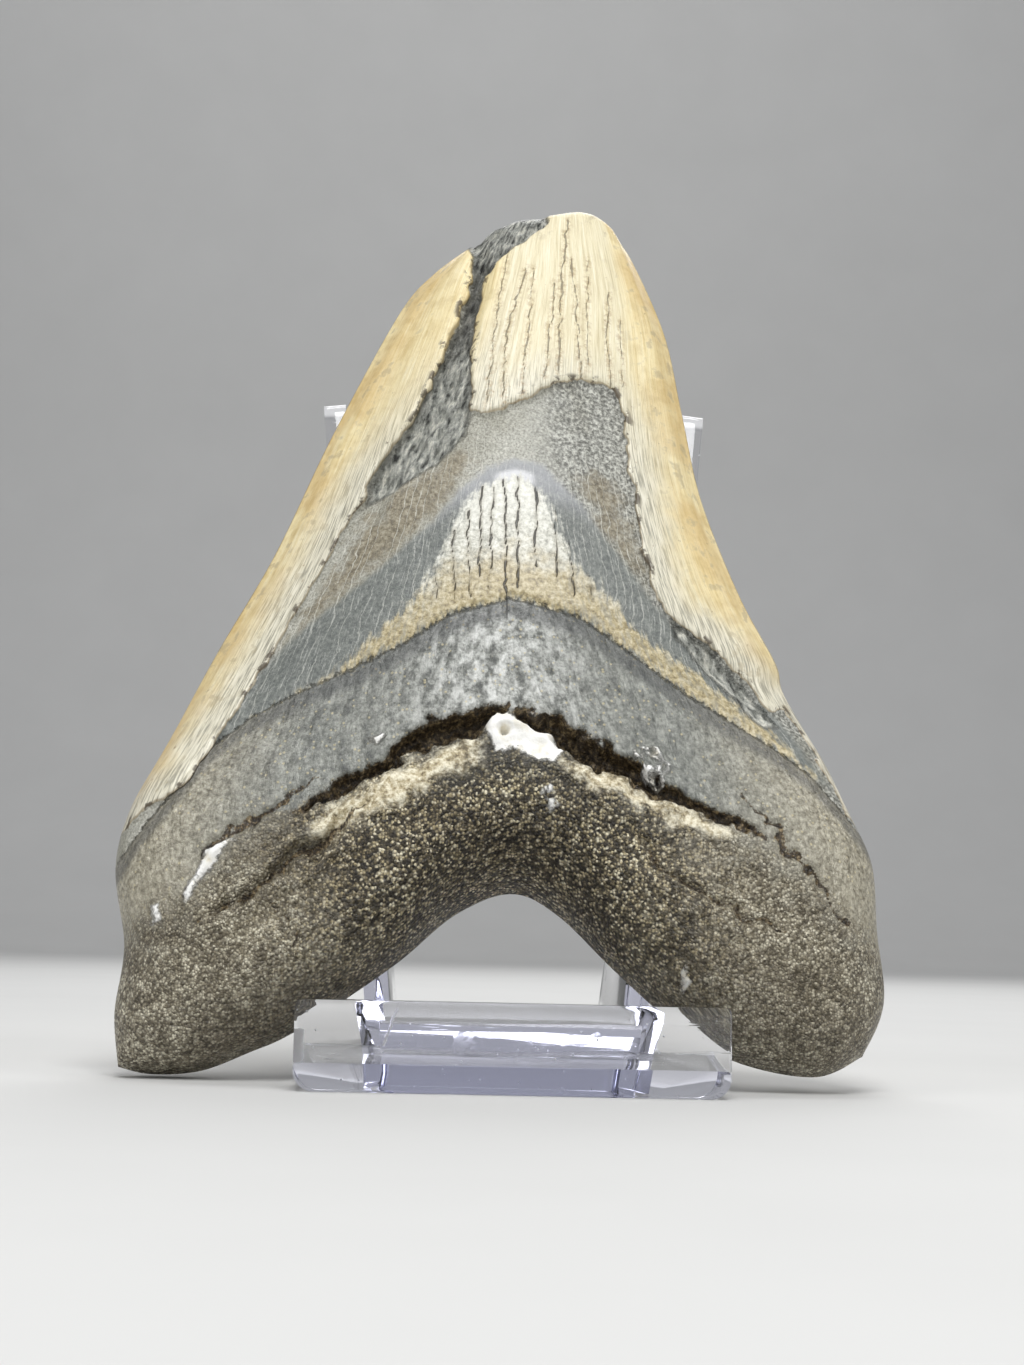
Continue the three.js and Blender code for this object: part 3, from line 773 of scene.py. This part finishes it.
@dataclass(frozen=True)
class FossilTones:
    """Display colours of the tooth: plain ones, and ramps with the noise level of each colour."""

    dentine: Stops = ((0.3, (132, 131, 120)), (0.5, (172, 171, 160)), (0.7, (206, 205, 194)))
    dentine_sand: Stops = ((0.36, (92, 92, 85)), (0.5, (146, 146, 138)), (0.66, (206, 206, 196)))
    dentine_worn: Colour = (200, 197, 184)
    dentine_vein: Colour = (222, 220, 208)
    rust: Stops = ((0.35, (90, 80, 61)), (0.5, (132, 122, 99)), (0.68, (176, 168, 147)))
    slate: Stops = ((0.3, (86, 90, 88)), (0.52, (118, 122, 117)), (0.74, (150, 153, 146)))
    slate_scratch: Colour = (200, 201, 194)
    slate_vein: Colour = (206, 206, 197)
    slate_pit: Colour = (86, 90, 90)
    slate_arch: Colour = (188, 189, 194)
    # painted highlight of the slate band, where the key light's reflection falls
    slate_painted_highlight: Colour = (236, 236, 238)
    ochre: Stops = ((0.34, (126, 114, 84)), (0.5, (182, 168, 130)), (0.66, (218, 208, 178)))
    cream: Stops = ((0.32, (146, 145, 134)), (0.5, (206, 205, 192)), (0.68, (244, 243, 234)))
    cream_top: Colour = (240, 240, 230)
    cream_dim: Colour = (150, 148, 136)
    cream_halo: Colour = (120, 108, 80)
    cream_crack: Colour = (50, 46, 38)
    neck: Stops = ((0.36, (92, 94, 91)), (0.5, (140, 142, 135)), (0.64, (186, 187, 179)))
    neck_side: Stops = ((0.34, (120, 112, 92)), (0.5, (172, 164, 142)), (0.66, (214, 207, 184)))
    # painted highlight on the neck's wrinkles in the middle
    neck_painted_highlight: Colour = (242, 243, 239)
    neck_gold: Colour = (214, 202, 164)
    # painted shade below the ridge
    neck_painted_shade: Colour = (76, 78, 79)
    neck_crack: Colour = (56, 55, 51)
    root: Stops = (
        (0.05, (38, 32, 22)), (0.36, (82, 74, 56)), (0.6, (142, 130, 102)), (0.8, (216, 201, 160)),
        (0.96, (252, 243, 214)))
    root_gap: Colour = (32, 27, 19)
    lobe: Stops = (
        (0.0, (98, 90, 72)), (0.4, (152, 143, 121)), (0.72, (192, 184, 161)), (1.0, (246, 239, 215)))
    lobe_gap: Colour = (66, 58, 45)
    # painted sheen: a grey reflection on the root just below the fissure
    root_painted_sheen: Colour = (96, 96, 91)
    root_worn: Colour = (128, 126, 116)
    root_dirt: Colour = (142, 131, 110)
    enamel: Stops = ((0.3, (214, 192, 138)), (0.5, (238, 222, 174)), (0.7, (249, 239, 204)))
    enamel_rim: Colour = (216, 188, 130)
    enamel_tip: Stops = ((0.32, (196, 184, 148)), (0.5, (226, 217, 184)), (0.68, (240, 235, 212)))
    enamel_mottle: Stops = ((0.36, (226, 218, 200)), (0.5, (250, 248, 243)), (0.6, (255, 255, 255)))
    enamel_hair: Stops = ((0.4, (146, 146, 138)), (0.5, (214, 211, 194)), (0.64, (238, 235, 220)))
    enamel_smudge: Colour = (172, 158, 126)
    enamel_fleck: Colour = (146, 120, 80)
    enamel_stain: Colour = (168, 142, 98)
    enamel_crack: Colour = (116, 106, 86)
    enamel_fringe: Colour = (128, 106, 68)
    enamel_chip: Colour = (66, 54, 38)
    scar: Stops = (
        (0.34, (38, 38, 35)), (0.43, (128, 130, 123)), (0.54, (186, 187, 178)), (0.66, (240, 238, 224)))
    scar_deep: Colour = (50, 47, 42)
    crust: Stops = ((0.3, (226, 218, 196)), (0.5, (250, 249, 243)), (0.8, (255, 255, 254)))
    # the ledge's own tan, painted lighter as if lit from above
    ledge: Stops = ((0.36, (104, 91, 66)), (0.46, (192, 177, 140)), (0.58, (250, 243, 218)))
    # painted shadow inside the fissure and the furrows
    fissure: Stops = ((0.35, (20, 15, 9)), (0.52, (70, 58, 40)), (0.66, (156, 137, 102)))


class FossilFinish:
    """Mineralised tooth: enamel, dentine, stained bands, granular root and white crust."""

    specular: float = 0.55

    def __init__(self, tones: FossilTones) -> None:
        """Read the mesh's fields and make the noises that several layers share."""
        self.tones = tones
        self.board = Board("fossil_tooth")
        self.enamel, self.cream, self.slate = self.board.fields(Layer.SHELL)
        self.ridge, self.root, self.fissure = self.board.fields(Layer.SEAM)
        self.crust, self.fracture, self.rust = self.board.fields(Layer.SCAR)
        self.side, self.up, self.crack = self.board.fields(Layer.LANE)
        self.ledge, self.broken_tip, self.rim = self.board.fields(Layer.SHELF)
        self.place = self.board.place()
        self.broad = self.place.noise(90, 3)
        self.medium = self.place.noise(420)
        self.fine = self.place.noise(1500, 4, 0.7)
        self.grit = self.place.noise(3200, 2)
        self.lane = self.lanes(60, 12)
        self.weave = self.lanes(50, 40).noise(1.0, 4, 0.65)
        self.away = abs(self.side)
        self.split = self.crack.step(-0.06, 0.05)
        self.veins = self.cracks(pitch=0.034, width=0.06, wander=1.1, gate=0.44)

    def lanes(self, across: float, along: float) -> Field:
        """Coordinates that follow the tooth's flanks, scaled across and along it."""
        return self.board.vector(self.side * across, self.up * along)

    def cracks(self, pitch: float, width: float, wander: float, gate: float) -> Field:
        """Thin cracks that run up the tooth.

        Args:
            pitch: Spacing across, as a share of the half width.
            width: Half width of a crack, as a share of the pitch.
            wander: How far the cracks stray sideways, as a share of the pitch.
            gate: Share of the noise below which a crack is closed.

        Returns:
            A mask, 1 inside a crack.
        """
        stray = (self.lanes(9, 26).noise(0.7, 5, 0.62) - 0.5) * (2 * wander)
        lanes = self.side / pitch + stray
        away = abs(lanes.math("FRACT") - 0.5)
        number = lanes.math("FLOOR")
        run = self.board.vector(number * 7.31, self.up * 6).noise(1.0, 2, 0.5)
        swell = self.board.vector(number * 3.7, self.up * 60).noise(1.0, 2)
        thick = run.step(gate - 0.06, gate + 0.1) * swell * (2 * width)
        return (thick - away).step(-0.2 * width, 0.2 * width)

    def dentine_coat(self) -> Coat:
        """Grey dentine above the cream patch, coarse on the right, with pale cracks and rust stains."""
        tones = self.tones
        sand = self.place.noise(2100, 3)
        colour = self.grit.ramp(tones.dentine)
        colour = colour.dyed((self.side + self.medium * 0.2).step(0.14, 0.4), sand.ramp(tones.dentine_sand))
        colour = colour.dyed(self.broad.step(0.45, 0.68) * 0.5, tones.dentine_worn, "MULTIPLY")
        stain = self.rust + (self.medium - 0.5) * 7
        colour = colour.dyed(stain.step(-1.0, 2.6) * 0.85, self.fine.ramp(tones.rust))
        pale = self.veins * self.rust.step(-6, 1)
        colour = colour.dyed(pale * 0.6, tones.dentine_vein)
        return Coat(colour, self.grit.blend(0.28, 0.62), sand * 0.16 + self.grit * 0.08 + pale * 0.05)

    def slate_coat(self) -> Coat:
        """Blue-grey band with fine pale scratches, paler in an arch over the cream patch, with a painted
        highlight in its middle near the top.
        """
        tones = self.tones
        scratch = self.lane.noise(2.4, 4, 0.75)
        # painted highlight: a near-white spot in the middle of the band, standing in for the key light's
        # reflection
        painted_highlight = self.ridge.band(14.6, 0.3, 1.0) * self.side.band(0.05, 0.05, 0.09)
        colour = self.fine.ramp(tones.slate)
        colour = colour.layered(
            (scratch.step(0.54, 0.66) * 0.6, tones.slate_scratch),
            (self.veins * 0.42, tones.slate_vein),
            (self.grit.step(0.46, 0.34) * 0.5, tones.slate_pit),
            (self.ridge.step(11, 15) * 0.5, tones.slate_arch),
            (painted_highlight * 0.7, tones.slate_painted_highlight))
        return Coat(colour, scratch.blend(0.3, 0.5), self.fine * 0.14 + scratch * 0.08)

    def cream_coat(self) -> Coat:
        """Silver-cream patch that turns to ochre above the ridge, split by dark cracks."""
        tones = self.tones
        pale = self.fine.ramp(tones.cream).dyed(self.ridge.step(8, 12) * 0.4, tones.cream_top)
        level = self.ridge + (self.medium - 0.5) * 9
        dim = self.weave.step(0.56, 0.4) * self.away.step(0.1, 0.3)
        colour = self.fine.ramp(tones.ochre).dyed(level.step(2.2, 8), pale)
        colour = colour.layered(
            (dim * 0.5, tones.cream_dim),
            (self.crack.step(-0.5, 0.05) * 0.3, tones.cream_halo),
            (self.split * 0.92, tones.cream_crack))
        return Coat(colour, self.fine.blend(0.28, 0.5), self.fine * 0.1 - self.split * 0.2)

    def neck_coat(self) -> Coat:
        """Grey neck between ridge and fissure, browner at the sides, with painted highlights on the
        wrinkles in the middle and a painted shade band below the ridge.
        """
        tones = self.tones
        wrinkle = self.lanes(30, 34).noise(1.0, 5)
        # worn here is a painted highlight: near-white on the wrinkles' crests in the middle of the neck
        worn = (wrinkle + self.fine * 0.5).step(0.6, 0.95) * self.away.step(0.38, 0.02)
        spread, chance = self.place.cells(1900)
        gold = chance.step(0.84, 0.88) * spread.step(0.45, 0.2)
        # painted shade: a dark band along the step and groove just below the ridge
        shade = (self.ridge + self.weave * 1.2).band(-0.5, 0.3, 1.9)
        colour = (wrinkle * 0.5 + self.fine * 0.5).ramp(tones.neck)
        colour = colour.layered(
            (worn * 0.75, tones.neck_painted_highlight),
            (self.away.step(0.5, 0.95) * 0.8, self.fine.ramp(tones.neck_side)),
            (gold * 0.7, tones.neck_gold),
            (shade * 0.6, tones.neck_painted_shade),
            (self.split * 0.8, tones.neck_crack))
        return Coat(colour, self.grit.blend(0.18, 0.42), self.fine * 0.2 + wrinkle * 1.5)

    def root_coat(self) -> Coat:
        """Dark granular root with golden grains, browner and finer on the lobes, with a painted grey sheen
        just below the fissure in the middle.
        """
        tones = self.tones
        spread, chance = self.place.cells(2750)
        colour = (chance + (self.fine - 0.5) * 0.9).ramp(tones.root)
        colour = colour.dyed(spread.step(0.32, 0.66) * 0.65, tones.root_gap)
        lobe_spread, lobe_chance = self.place.cells(3000)
        lobe = (lobe_chance + (self.medium - 0.5) * 1.4).ramp(tones.lobe)
        lobe = lobe.dyed(lobe_spread.step(0.35, 0.7) * 0.5, tones.lobe_gap)
        outer = (self.away + self.broad * 0.4).step(0.5, 1.0)
        # painted sheen: grey laid just below the fissure in the middle, standing in for a glossy reflection
        painted_sheen = self.root.step(8, 4) * self.away.step(0.26, 0.14)
        worn = self.root.step(7, 2) * self.medium.step(0.42, 0.6)
        colour = colour.layered(
            (outer, lobe),
            (painted_sheen * 0.55, tones.root_painted_sheen),
            (worn * 0.45, tones.root_worn))
        colour = colour.dyed(self.broad.step(0.6, 0.38) * 0.4, tones.root_dirt, "MULTIPLY")
        grains = outer.blend(spread * -0.34, lobe_spread * -0.42)
        return Coat(colour, self.grit.blend(0.22, 0.55), self.fine * 0.35 + self.medium * 1.1 + grains)

    def enamel_coat(self) -> Coat:
        """Cream enamel, tan at its rim, with hairlines by its broken edge and dark cracks at the tip."""
        tones = self.tones
        streaks = self.lane.noise(0.9, 5, 0.7)
        lines = self.lane.noise(2.6, 3)
        tan = self.rim.step(8, 2) * self.broad.step(0.36, 0.6)
        panel = self.up.step(0.6, 0.68) * self.side.band(0.25, 0.36, 0.5)
        plain = (panel * -1.0 + 1.0) * 0.6
        inner = self.enamel.step(8, 1.5) * self.up.step(0.84, 0.6)
        smudge = self.medium.step(0.54, 0.66) * self.rim.step(11, 3)
        flecks = self.place.cells(500)[0].step(0.15, 0.07) * self.fine.step(0.5, 0.6)
        stain = self.crack.step(-0.9, 0.0) * self.fine.step(0.44, 0.62)
        chips = self.enamel.step(1.2, 0.4) * self.medium.step(0.53, 0.6)
        colour = streaks.ramp(tones.enamel)
        colour = colour.layered(
            (tan * 0.7, tones.enamel_rim),
            (panel * 0.85, streaks.ramp(tones.enamel_tip)))
        colour = colour.dyed(plain, self.medium.ramp(tones.enamel_mottle), "MULTIPLY")
        colour = colour.layered(
            (inner * 0.85, lines.ramp(tones.enamel_hair)),
            (smudge * 0.55, tones.enamel_smudge),
            (flecks * 0.6, tones.enamel_fleck),
            (stain * 0.6, tones.enamel_stain),
            (self.split * 0.75, tones.enamel_crack),
            (self.enamel.step(0.3, 0.08) * 0.6, tones.enamel_fringe),
            (chips * 0.85, tones.enamel_chip))
        return Coat(colour, streaks.blend(0.3, 0.5), streaks * 0.12 - self.split * 0.12 + lines * 0.05)

    def scar_coat(self) -> Coat:
        """Rough grey break with splintered light ridges and dark pits."""
        grain = self.lanes(40, 70).noise(0.75, 5, 0.62)
        deep = self.up.band(0.83, 0.03, 0.11) * 0.65
        colour = grain.ramp(self.tones.scar).dyed(deep, self.tones.scar_deep)
        return Coat(colour, grain.blend(0.5, 0.25), grain * 1.5 + self.fine * 0.3)

    def crust_coat(self) -> Coat:
        """White mineral crust."""
        return Coat(self.medium.ramp(self.tones.crust), 0.5, self.medium * 0.4)

    def ledge_coat(self) -> Coat:
        """Tan ledge of loose grains below the fissure, its own tan painted lighter where it faces the light
        from above.
        """
        colour = (self.fine * 0.6 + self.medium * 0.4).ramp(self.tones.ledge)
        return Coat(colour, 0.5, self.fine * 0.3 + self.medium * 0.6)

    def material(self) -> bpy.types.Material:
        """Lay the coats from the dentine upwards and return the material."""
        frayed = (self.fine - 0.5) * 1.6
        feathered = (self.weave - 0.5) * 5
        crumbled = (self.grit - 0.5) * 0.8
        coat = self.dentine_coat().under((self.slate + frayed).step(-0.6, 0.8), self.slate_coat())
        coat = coat.under((self.cream + frayed + feathered).step(-0.6, 0.9), self.cream_coat())
        coat = coat.under((self.ridge + frayed).step(0.25, -0.25), self.neck_coat())
        root = self.root + frayed
        worn_in = (root + feathered).step(-3.0, 3.5)
        rooted = self.away.step(0.5, 0.75).blend(root.step(-0.4, 0.4), worn_in)
        coat = coat.under(rooted, self.root_coat())
        scarred = self.scar_coat()
        coat = coat.under((self.fracture + frayed).step(-0.4, 0.6), scarred)
        loose = self.ledge + frayed + (self.medium - 0.5) * 4
        coat = coat.under(loose.step(-0.8, 1.8), self.ledge_coat())
        coat = coat.under(self.enamel.step(-0.08, 0.08), self.enamel_coat())
        coat = coat.under((self.broken_tip + frayed).step(-0.3, 0.4), scarred)
        # painted shadow: the fissure's and furrows' cores are darkened as if shaded by the overhang
        painted_shadow = (self.fissure + crumbled).step(-0.12, 0.12)
        dark = coat.colour.dyed(painted_shadow, self.fine.ramp(self.tones.fissure))
        coat = Coat(dark, coat.roughness, coat.height)
        coat = coat.under((self.crust + frayed).step(-0.25, 0.25), self.crust_coat())
        relief = {"Height": coat.height, "Strength": 1.0, "Distance": MM}
        normal = self.board.field("Normal", "ShaderNodeBump", relief)
        look = {"Base Color": coat.colour, "Roughness": coat.roughness, "Normal": normal}
        shader = self.board.shader(look)
        shader.inputs["Specular IOR Level"].default_value = self.specular
        return self.board.material


@dataclass(frozen=True)
class AcrylicFinish:
    """Clear cast acrylic with dust, scratches, a hairline crack in its lip and a chip at the lip's end."""

    refraction: float = 1.49
    tint: Colour = (240, 241, 251)
    absorption: float = 48.0
    chip_place: tuple[float, float] = (-25.0, 5.2)
    crack_place: tuple[float, float] = (-14.3, 7.5)
    crack_slope: float = -0.33
    lip_front: float = -31.4
    lip_back: float = -31
    scratch_turn: Place = (0.3, 0.2, 0.5)
    scratch_scale: Place = (40, 900, 900)
    bump_strength: float = 0.3
    bump_height: float = 0.1 * MM

    def marred(self, place: Field) -> Field:
        """Mask of the chip and the hairline crack, which are both in the front lip."""
        x, y, z = (part * PER_METRE for part in place.parts())
        wander = place.noise(700) - 0.5
        across = x + (z - self.crack_place[1]) * self.crack_slope + wander
        crack = across.band(self.crack_place[0], 0.04, 0.14) * z.band(self.crack_place[1], 2.0, 2.3)
        chip = (x + wander).band(self.chip_place[0], 0.3, 0.9)
        chip = chip * (z + wander).band(self.chip_place[1], 1.5, 2.1)
        return crack.math("MAXIMUM", chip) * y.step(self.lip_back, self.lip_front)

    def material(self) -> bpy.types.Material:
        """Build the clear material."""
        board = Board("clear_acrylic")
        place = board.place()
        turn = {"Vector": place, "Rotation": self.scratch_turn, "Scale": self.scratch_scale}
        scratches = board.field("Vector", "ShaderNodeMapping", turn).noise(1.0, 3).step(0.64, 0.72)
        dust = place.cells(620)[0].step(0.09, 0.05)
        smears = place.noise(260, 3).step(0.6, 0.74)
        worn = scratches * 0.2 + dust * 0.6 + smears * 0.2
        worn = worn + self.marred(place) * 0.8 + place.noise(120, 3) * 0.05
        relief = {"Height": worn, "Strength": self.bump_strength, "Distance": self.bump_height}
        normal = board.field("Normal", "ShaderNodeBump", relief)
        shader = board.shader({"Roughness": worn, "Normal": normal})
        shader.inputs["Base Color"].default_value = (1.0, 1.0, 1.0, 1.0)
        shader.inputs["IOR"].default_value = self.refraction
        shader.inputs["Transmission Weight"].default_value = 1.0
        volume = board.node("ShaderNodeVolumeAbsorption")
        volume.inputs["Color"].default_value = linear(self.tint)
        volume.inputs["Density"].default_value = self.absorption
        board.tree.links.new(volume.outputs["Volume"], board.output.inputs["Volume"])
        return board.material


@dataclass(frozen=True)
class FloorFinish:
    """Pale matte studio paper."""

    light: Colour = (214, 214, 212)
    shade: Colour = (206, 206, 204)
    roughness: float = 0.85

    def material(self) -> bpy.types.Material:
        """Build the paper material."""
        board = Board("pale_paper")
        colour = board.place().noise(14, 3).ramp(((0.0, self.light), (1.0, self.shade)))
        board.shader({"Base Color": colour, "Roughness": self.roughness})
        return board.material


def piece(name: str, shell: bmesh.types.BMesh, material: bpy.types.Material) -> bpy.types.Object:
    """Turn a finished bmesh into an object of the scene.

    Args:
        name: The piece's name.
        shell: Its shape, which is freed.
        material: Its finish.

    Returns:
        The object, at the origin.
    """
    mesh = bpy.data.meshes.new(name)
    shell.to_mesh(mesh)
    shell.free()
    mesh.materials.append(material)
    made = bpy.data.objects.new(name, mesh)
    bpy.context.scene.collection.objects.link(made)
    return made


@dataclass
class FossilTooth:
    """The tooth: one closed shell whose front is meshed twice as finely as its back."""

    form: ToothForm
    relief: ToothRelief
    columns: int = 160
    rows: int = 120
    row_shares: Sequence[float] = (0, 0.12, 0.5, 1)
    row_stations: Sequence[float] = (0, 0.1, 0.36, 1)
    merge: float = 1e-5

    def pillow(self) -> bmesh.types.BMesh:
        """A flat front grid and back grid, joined along their rim, the front cut once more."""
        shell = bmesh.new()
        rim = []
        for face in (1, -1):
            made = bmesh.ops.create_grid(shell, x_segments=self.columns, y_segments=self.rows, size=0.5)
            grid = made["verts"]
            if face < 0:
                flipped = {part for vert in grid for part in vert.link_faces}
                bmesh.ops.reverse_faces(shell, faces=list(flipped))
            inner = [vert for vert in grid if not vert.is_boundary]
            rim += [vert for vert in grid if vert.is_boundary]
            bmesh.ops.translate(shell, verts=inner, vec=(0, 0, face))
        bmesh.ops.remove_doubles(shell, verts=rim, dist=self.merge)
        front = {edge for part in shell.faces if max(v.co.z for v in part.verts) > 0 for edge in part.edges}
        bmesh.ops.subdivide_edges(shell, edges=list(front), cuts=1, use_grid_fill=True)
        return shell

    def build(self) -> bpy.types.Object:
        """Shape the shell, store its zones and dress it."""
        shell = self.pillow()
        flat = np.array([vert.co for vert in shell.verts])
        across = np.clip(flat[:, 0] + 0.5, 0, 1)
        up = np.interp(flat[:, 1] + 0.5, self.row_shares, self.row_stations)
        side = 2 * across - 1
        place, to_side, to_base, to_tip = self.form.plane(across, up)
        front_height, back_height = self.form.heights(side, up, to_side, to_base, to_tip)
        rim = np.minimum(np.minimum(to_side, to_base), to_tip)
        margin = smooth(0, self.relief.rim_margin, rim)
        front_zones, front_relief = self.relief.front(place)
        back_zones, back_relief = self.relief.back(place, side)
        is_front = flat[:, 2] > -NEAR_ZERO
        zones = {name: np.where(is_front, field, back_zones[name]) for name, field in front_zones.items()}
        front_height = front_height + margin * front_relief
        height = np.where(is_front, front_height, -back_height - margin * back_relief)
        height[np.abs(flat[:, 2]) < NEAR_ZERO] = 0
        for vert, point in zip(shell.verts, self.form.stand(place, height)):
            vert.co = point
        bmesh.ops.recalc_face_normals(shell, faces=shell.faces[:])
        tooth = piece("tooth_body", shell, FossilFinish(FossilTones()).material())
        tooth.data.shade_smooth()
        zones.update(side=side, up=up, rim=rim)
        self.store(tooth.data, zones)
        return tooth

    def store(self, mesh: bpy.types.Mesh, zones: Zones) -> None:
        """Write the zone fields into the mesh's attributes."""
        for layer in Layer:
            values = np.stack([zones[name] for name in layer.value], -1).astype(np.float32)
            attribute = mesh.attributes.new(layer.attribute, "FLOAT_VECTOR", "POINT")
            attribute.data.foreach_set("vector", values.ravel())


@dataclass
class ClearEasel:
    """The easel: the frame's moulding with its sharp edges polished round."""

    merge: float = 0.002 * MM
    flat: float = math.radians(0.4)
    sharp: float = math.radians(28)
    edge_radius: float = 0.45 * MM
    edge_steps: int = 3
    crease: float = math.radians(35)

    def build(self) -> bpy.types.Object:
        """Round a merged copy of the frame's easel and dress it."""
        shell = bmesh.new()
        shell.from_mesh(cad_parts["easel"].data)
        bmesh.ops.remove_doubles(shell, verts=shell.verts[:], dist=self.merge)
        bmesh.ops.dissolve_limit(
            shell, angle_limit=self.flat, verts=shell.verts[:], edges=shell.edges[:], delimit=set())
        edges = [edge for edge in shell.edges if edge.is_manifold and edge.calc_face_angle() > self.sharp]
        bmesh.ops.bevel(
            shell, geom=edges, offset=self.edge_radius, offset_type="OFFSET", affect="EDGES",
            segments=self.edge_steps, profile=0.5, material=-1, clamp_overlap=True)
        bmesh.ops.recalc_face_normals(shell, faces=shell.faces[:])
        easel = piece("easel_moulding", shell, AcrylicFinish().material())
        easel.data.shade_smooth()
        easel.data.set_sharp_from_angle(angle=self.crease)
        return easel


@dataclass(frozen=True)
class Softbox:
    """A square lamp: where it hangs, its side and where it points in metres, its power in watts."""

    name: str
    place: Place
    size: float
    power: float
    aim: Place = (0, -10 * MM, 60 * MM)

    def hang(self) -> None:
        """Put the lamp in the scene."""
        lamp = bpy.data.lights.new(self.name, "AREA")
        lamp.size = self.size
        lamp.energy = self.power
        made = bpy.data.objects.new(self.name, lamp)
        made.location = self.place
        made.rotation_euler = (Vector(self.aim) - Vector(self.place)).to_track_quat("-Z", "Y").to_euler()
        bpy.context.scene.collection.objects.link(made)


@dataclass
class Studio:
    """Pale floor, soft lights and the camera at the photograph's place."""

    distance: float = 275.2 * MM
    eye_height: float = 18.4 * MM
    turn: float = math.radians(-1.9)
    pitch: float = math.radians(7.02)
    roll: float = math.radians(1.32)
    lens: float = 54.07
    sensor: float = 36
    clip_start: float = 0.01
    floor_drop: float = 0.05 * MM
    floor_half: float = 1.6
    floor_front: float = -1.2
    floor_back: float = 1.1
    wall_height: float = 1.4
    sweep: float = 0.5
    sweep_steps: int = 24
    lamps: Sequence[Softbox] = (
        Softbox("key_box", (0.04, -0.36, 0.62), 0.3, 3.1),
        Softbox("left_fill", (-0.55, -0.45, 0.3), 0.4, 1.2),
        Softbox("right_fill", (0.6, -0.35, 0.35), 0.4, 1.15),
        Softbox("rear_box", (0.1, 0.55, 0.55), 0.5, 2.0),
        Softbox("wall_box", (0, 0.3, 1.5), 0.8, 9.0, (0, 1.6, 0.4)))
    surround: tuple[float, float, float, float] = (0.9, 0.92, 1.0, 1.0)
    surround_strength: float = 0.2

    def floor(self) -> bpy.types.Object:
        """A sheet of paper that sweeps up into a backdrop far behind the object."""
        sheet = bmesh.new()
        level = -self.floor_drop
        start = [sheet.verts.new((side * self.floor_half, self.floor_front, level)) for side in (-1, 1)]
        edge = sheet.edges.new(start)
        edge = self.drawn_out(sheet, edge, (0, self.floor_back - self.floor_front, 0))
        bent = bmesh.ops.spin(
            sheet, geom=[*edge.verts, edge], cent=(0, self.floor_back, level + self.sweep), axis=(1, 0, 0),
            angle=math.pi / 2, steps=self.sweep_steps)
        last = next(part for part in bent["geom_last"] if isinstance(part, bmesh.types.BMEdge))
        self.drawn_out(sheet, last, (0, 0, self.wall_height))
        bmesh.ops.recalc_face_normals(sheet, faces=sheet.faces[:])
        paper = piece("studio_floor", sheet, FloorFinish().material())
        paper.data.shade_smooth()
        return paper

    def drawn_out(
        self, sheet: bmesh.types.BMesh, edge: bmesh.types.BMEdge, way: Place,
    ) -> bmesh.types.BMEdge:
        """Draw an edge of the paper out into a flat strip.

        Args:
            sheet: The paper's mesh.
            edge: The edge to draw out.
            way: How far and in which direction.

        Returns:
            The strip's far edge.
        """
        made = bmesh.ops.extrude_edge_only(sheet, edges=[edge])["geom"]
        far = [part for part in made if isinstance(part, bmesh.types.BMVert)]
        bmesh.ops.translate(sheet, verts=far, vec=way)
        edges = [part for part in made if isinstance(part, bmesh.types.BMEdge)]
        return next(part for part in edges if set(part.verts) == set(far))

    def lights(self) -> None:
        """A key from above the viewer, side fills, rear and wall lamps, and a weak even surround."""
        for lamp in self.lamps:
            lamp.hang()
        world = bpy.data.worlds.new("soft_surround")
        world.use_nodes = True
        surround = world.node_tree.nodes["Background"]
        surround.inputs["Color"].default_value = self.surround
        surround.inputs["Strength"].default_value = self.surround_strength
        bpy.context.scene.world = world
        bpy.context.scene.view_settings.view_transform = "Standard"

    def camera(self) -> None:
        """The camera, a little above the table and tilted up."""
        lens = bpy.data.cameras.new("viewer")
        lens.lens = self.lens
        lens.sensor_width = self.sensor
        lens.clip_start = self.clip_start
        viewer = bpy.data.objects.new("viewer", lens)
        bpy.context.scene.collection.objects.link(viewer)
        tilt = Matrix.Rotation(math.pi / 2 + self.pitch, 4, "X") @ Matrix.Rotation(self.roll, 4, "Z")
        eye = Matrix.Translation((0, -self.distance, self.eye_height))
        viewer.matrix_world = Matrix.Rotation(self.turn, 4, "Z") @ eye @ tilt
        bpy.context.scene.camera = viewer


def seat(made: bpy.types.Object, node: str) -> None:
    """Put a finished piece in the frame.

    Args:
        made: The piece.
        node: The frame's node that it stands for.
    """
    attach(made, BODY)
    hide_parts(node)
    triangles = sum(len(face.vertices) - 2 for face in made.data.polygons)
    LOG.info("%s: %d triangles, stands for %s", made.name, triangles, node)


def main() -> None:
    """Build the stage and the two pieces in order."""
    logging.basicConfig(level=logging.INFO, format="%(name)s %(message)s")
    studio = Studio()
    studio.floor()
    studio.lights()
    studio.camera()
    seat(FossilTooth(ToothForm(), ToothRelief(Markings())).build(), "tooth")
    seat(ClearEasel().build(), "easel")


if __name__ == "__main__":
    main()
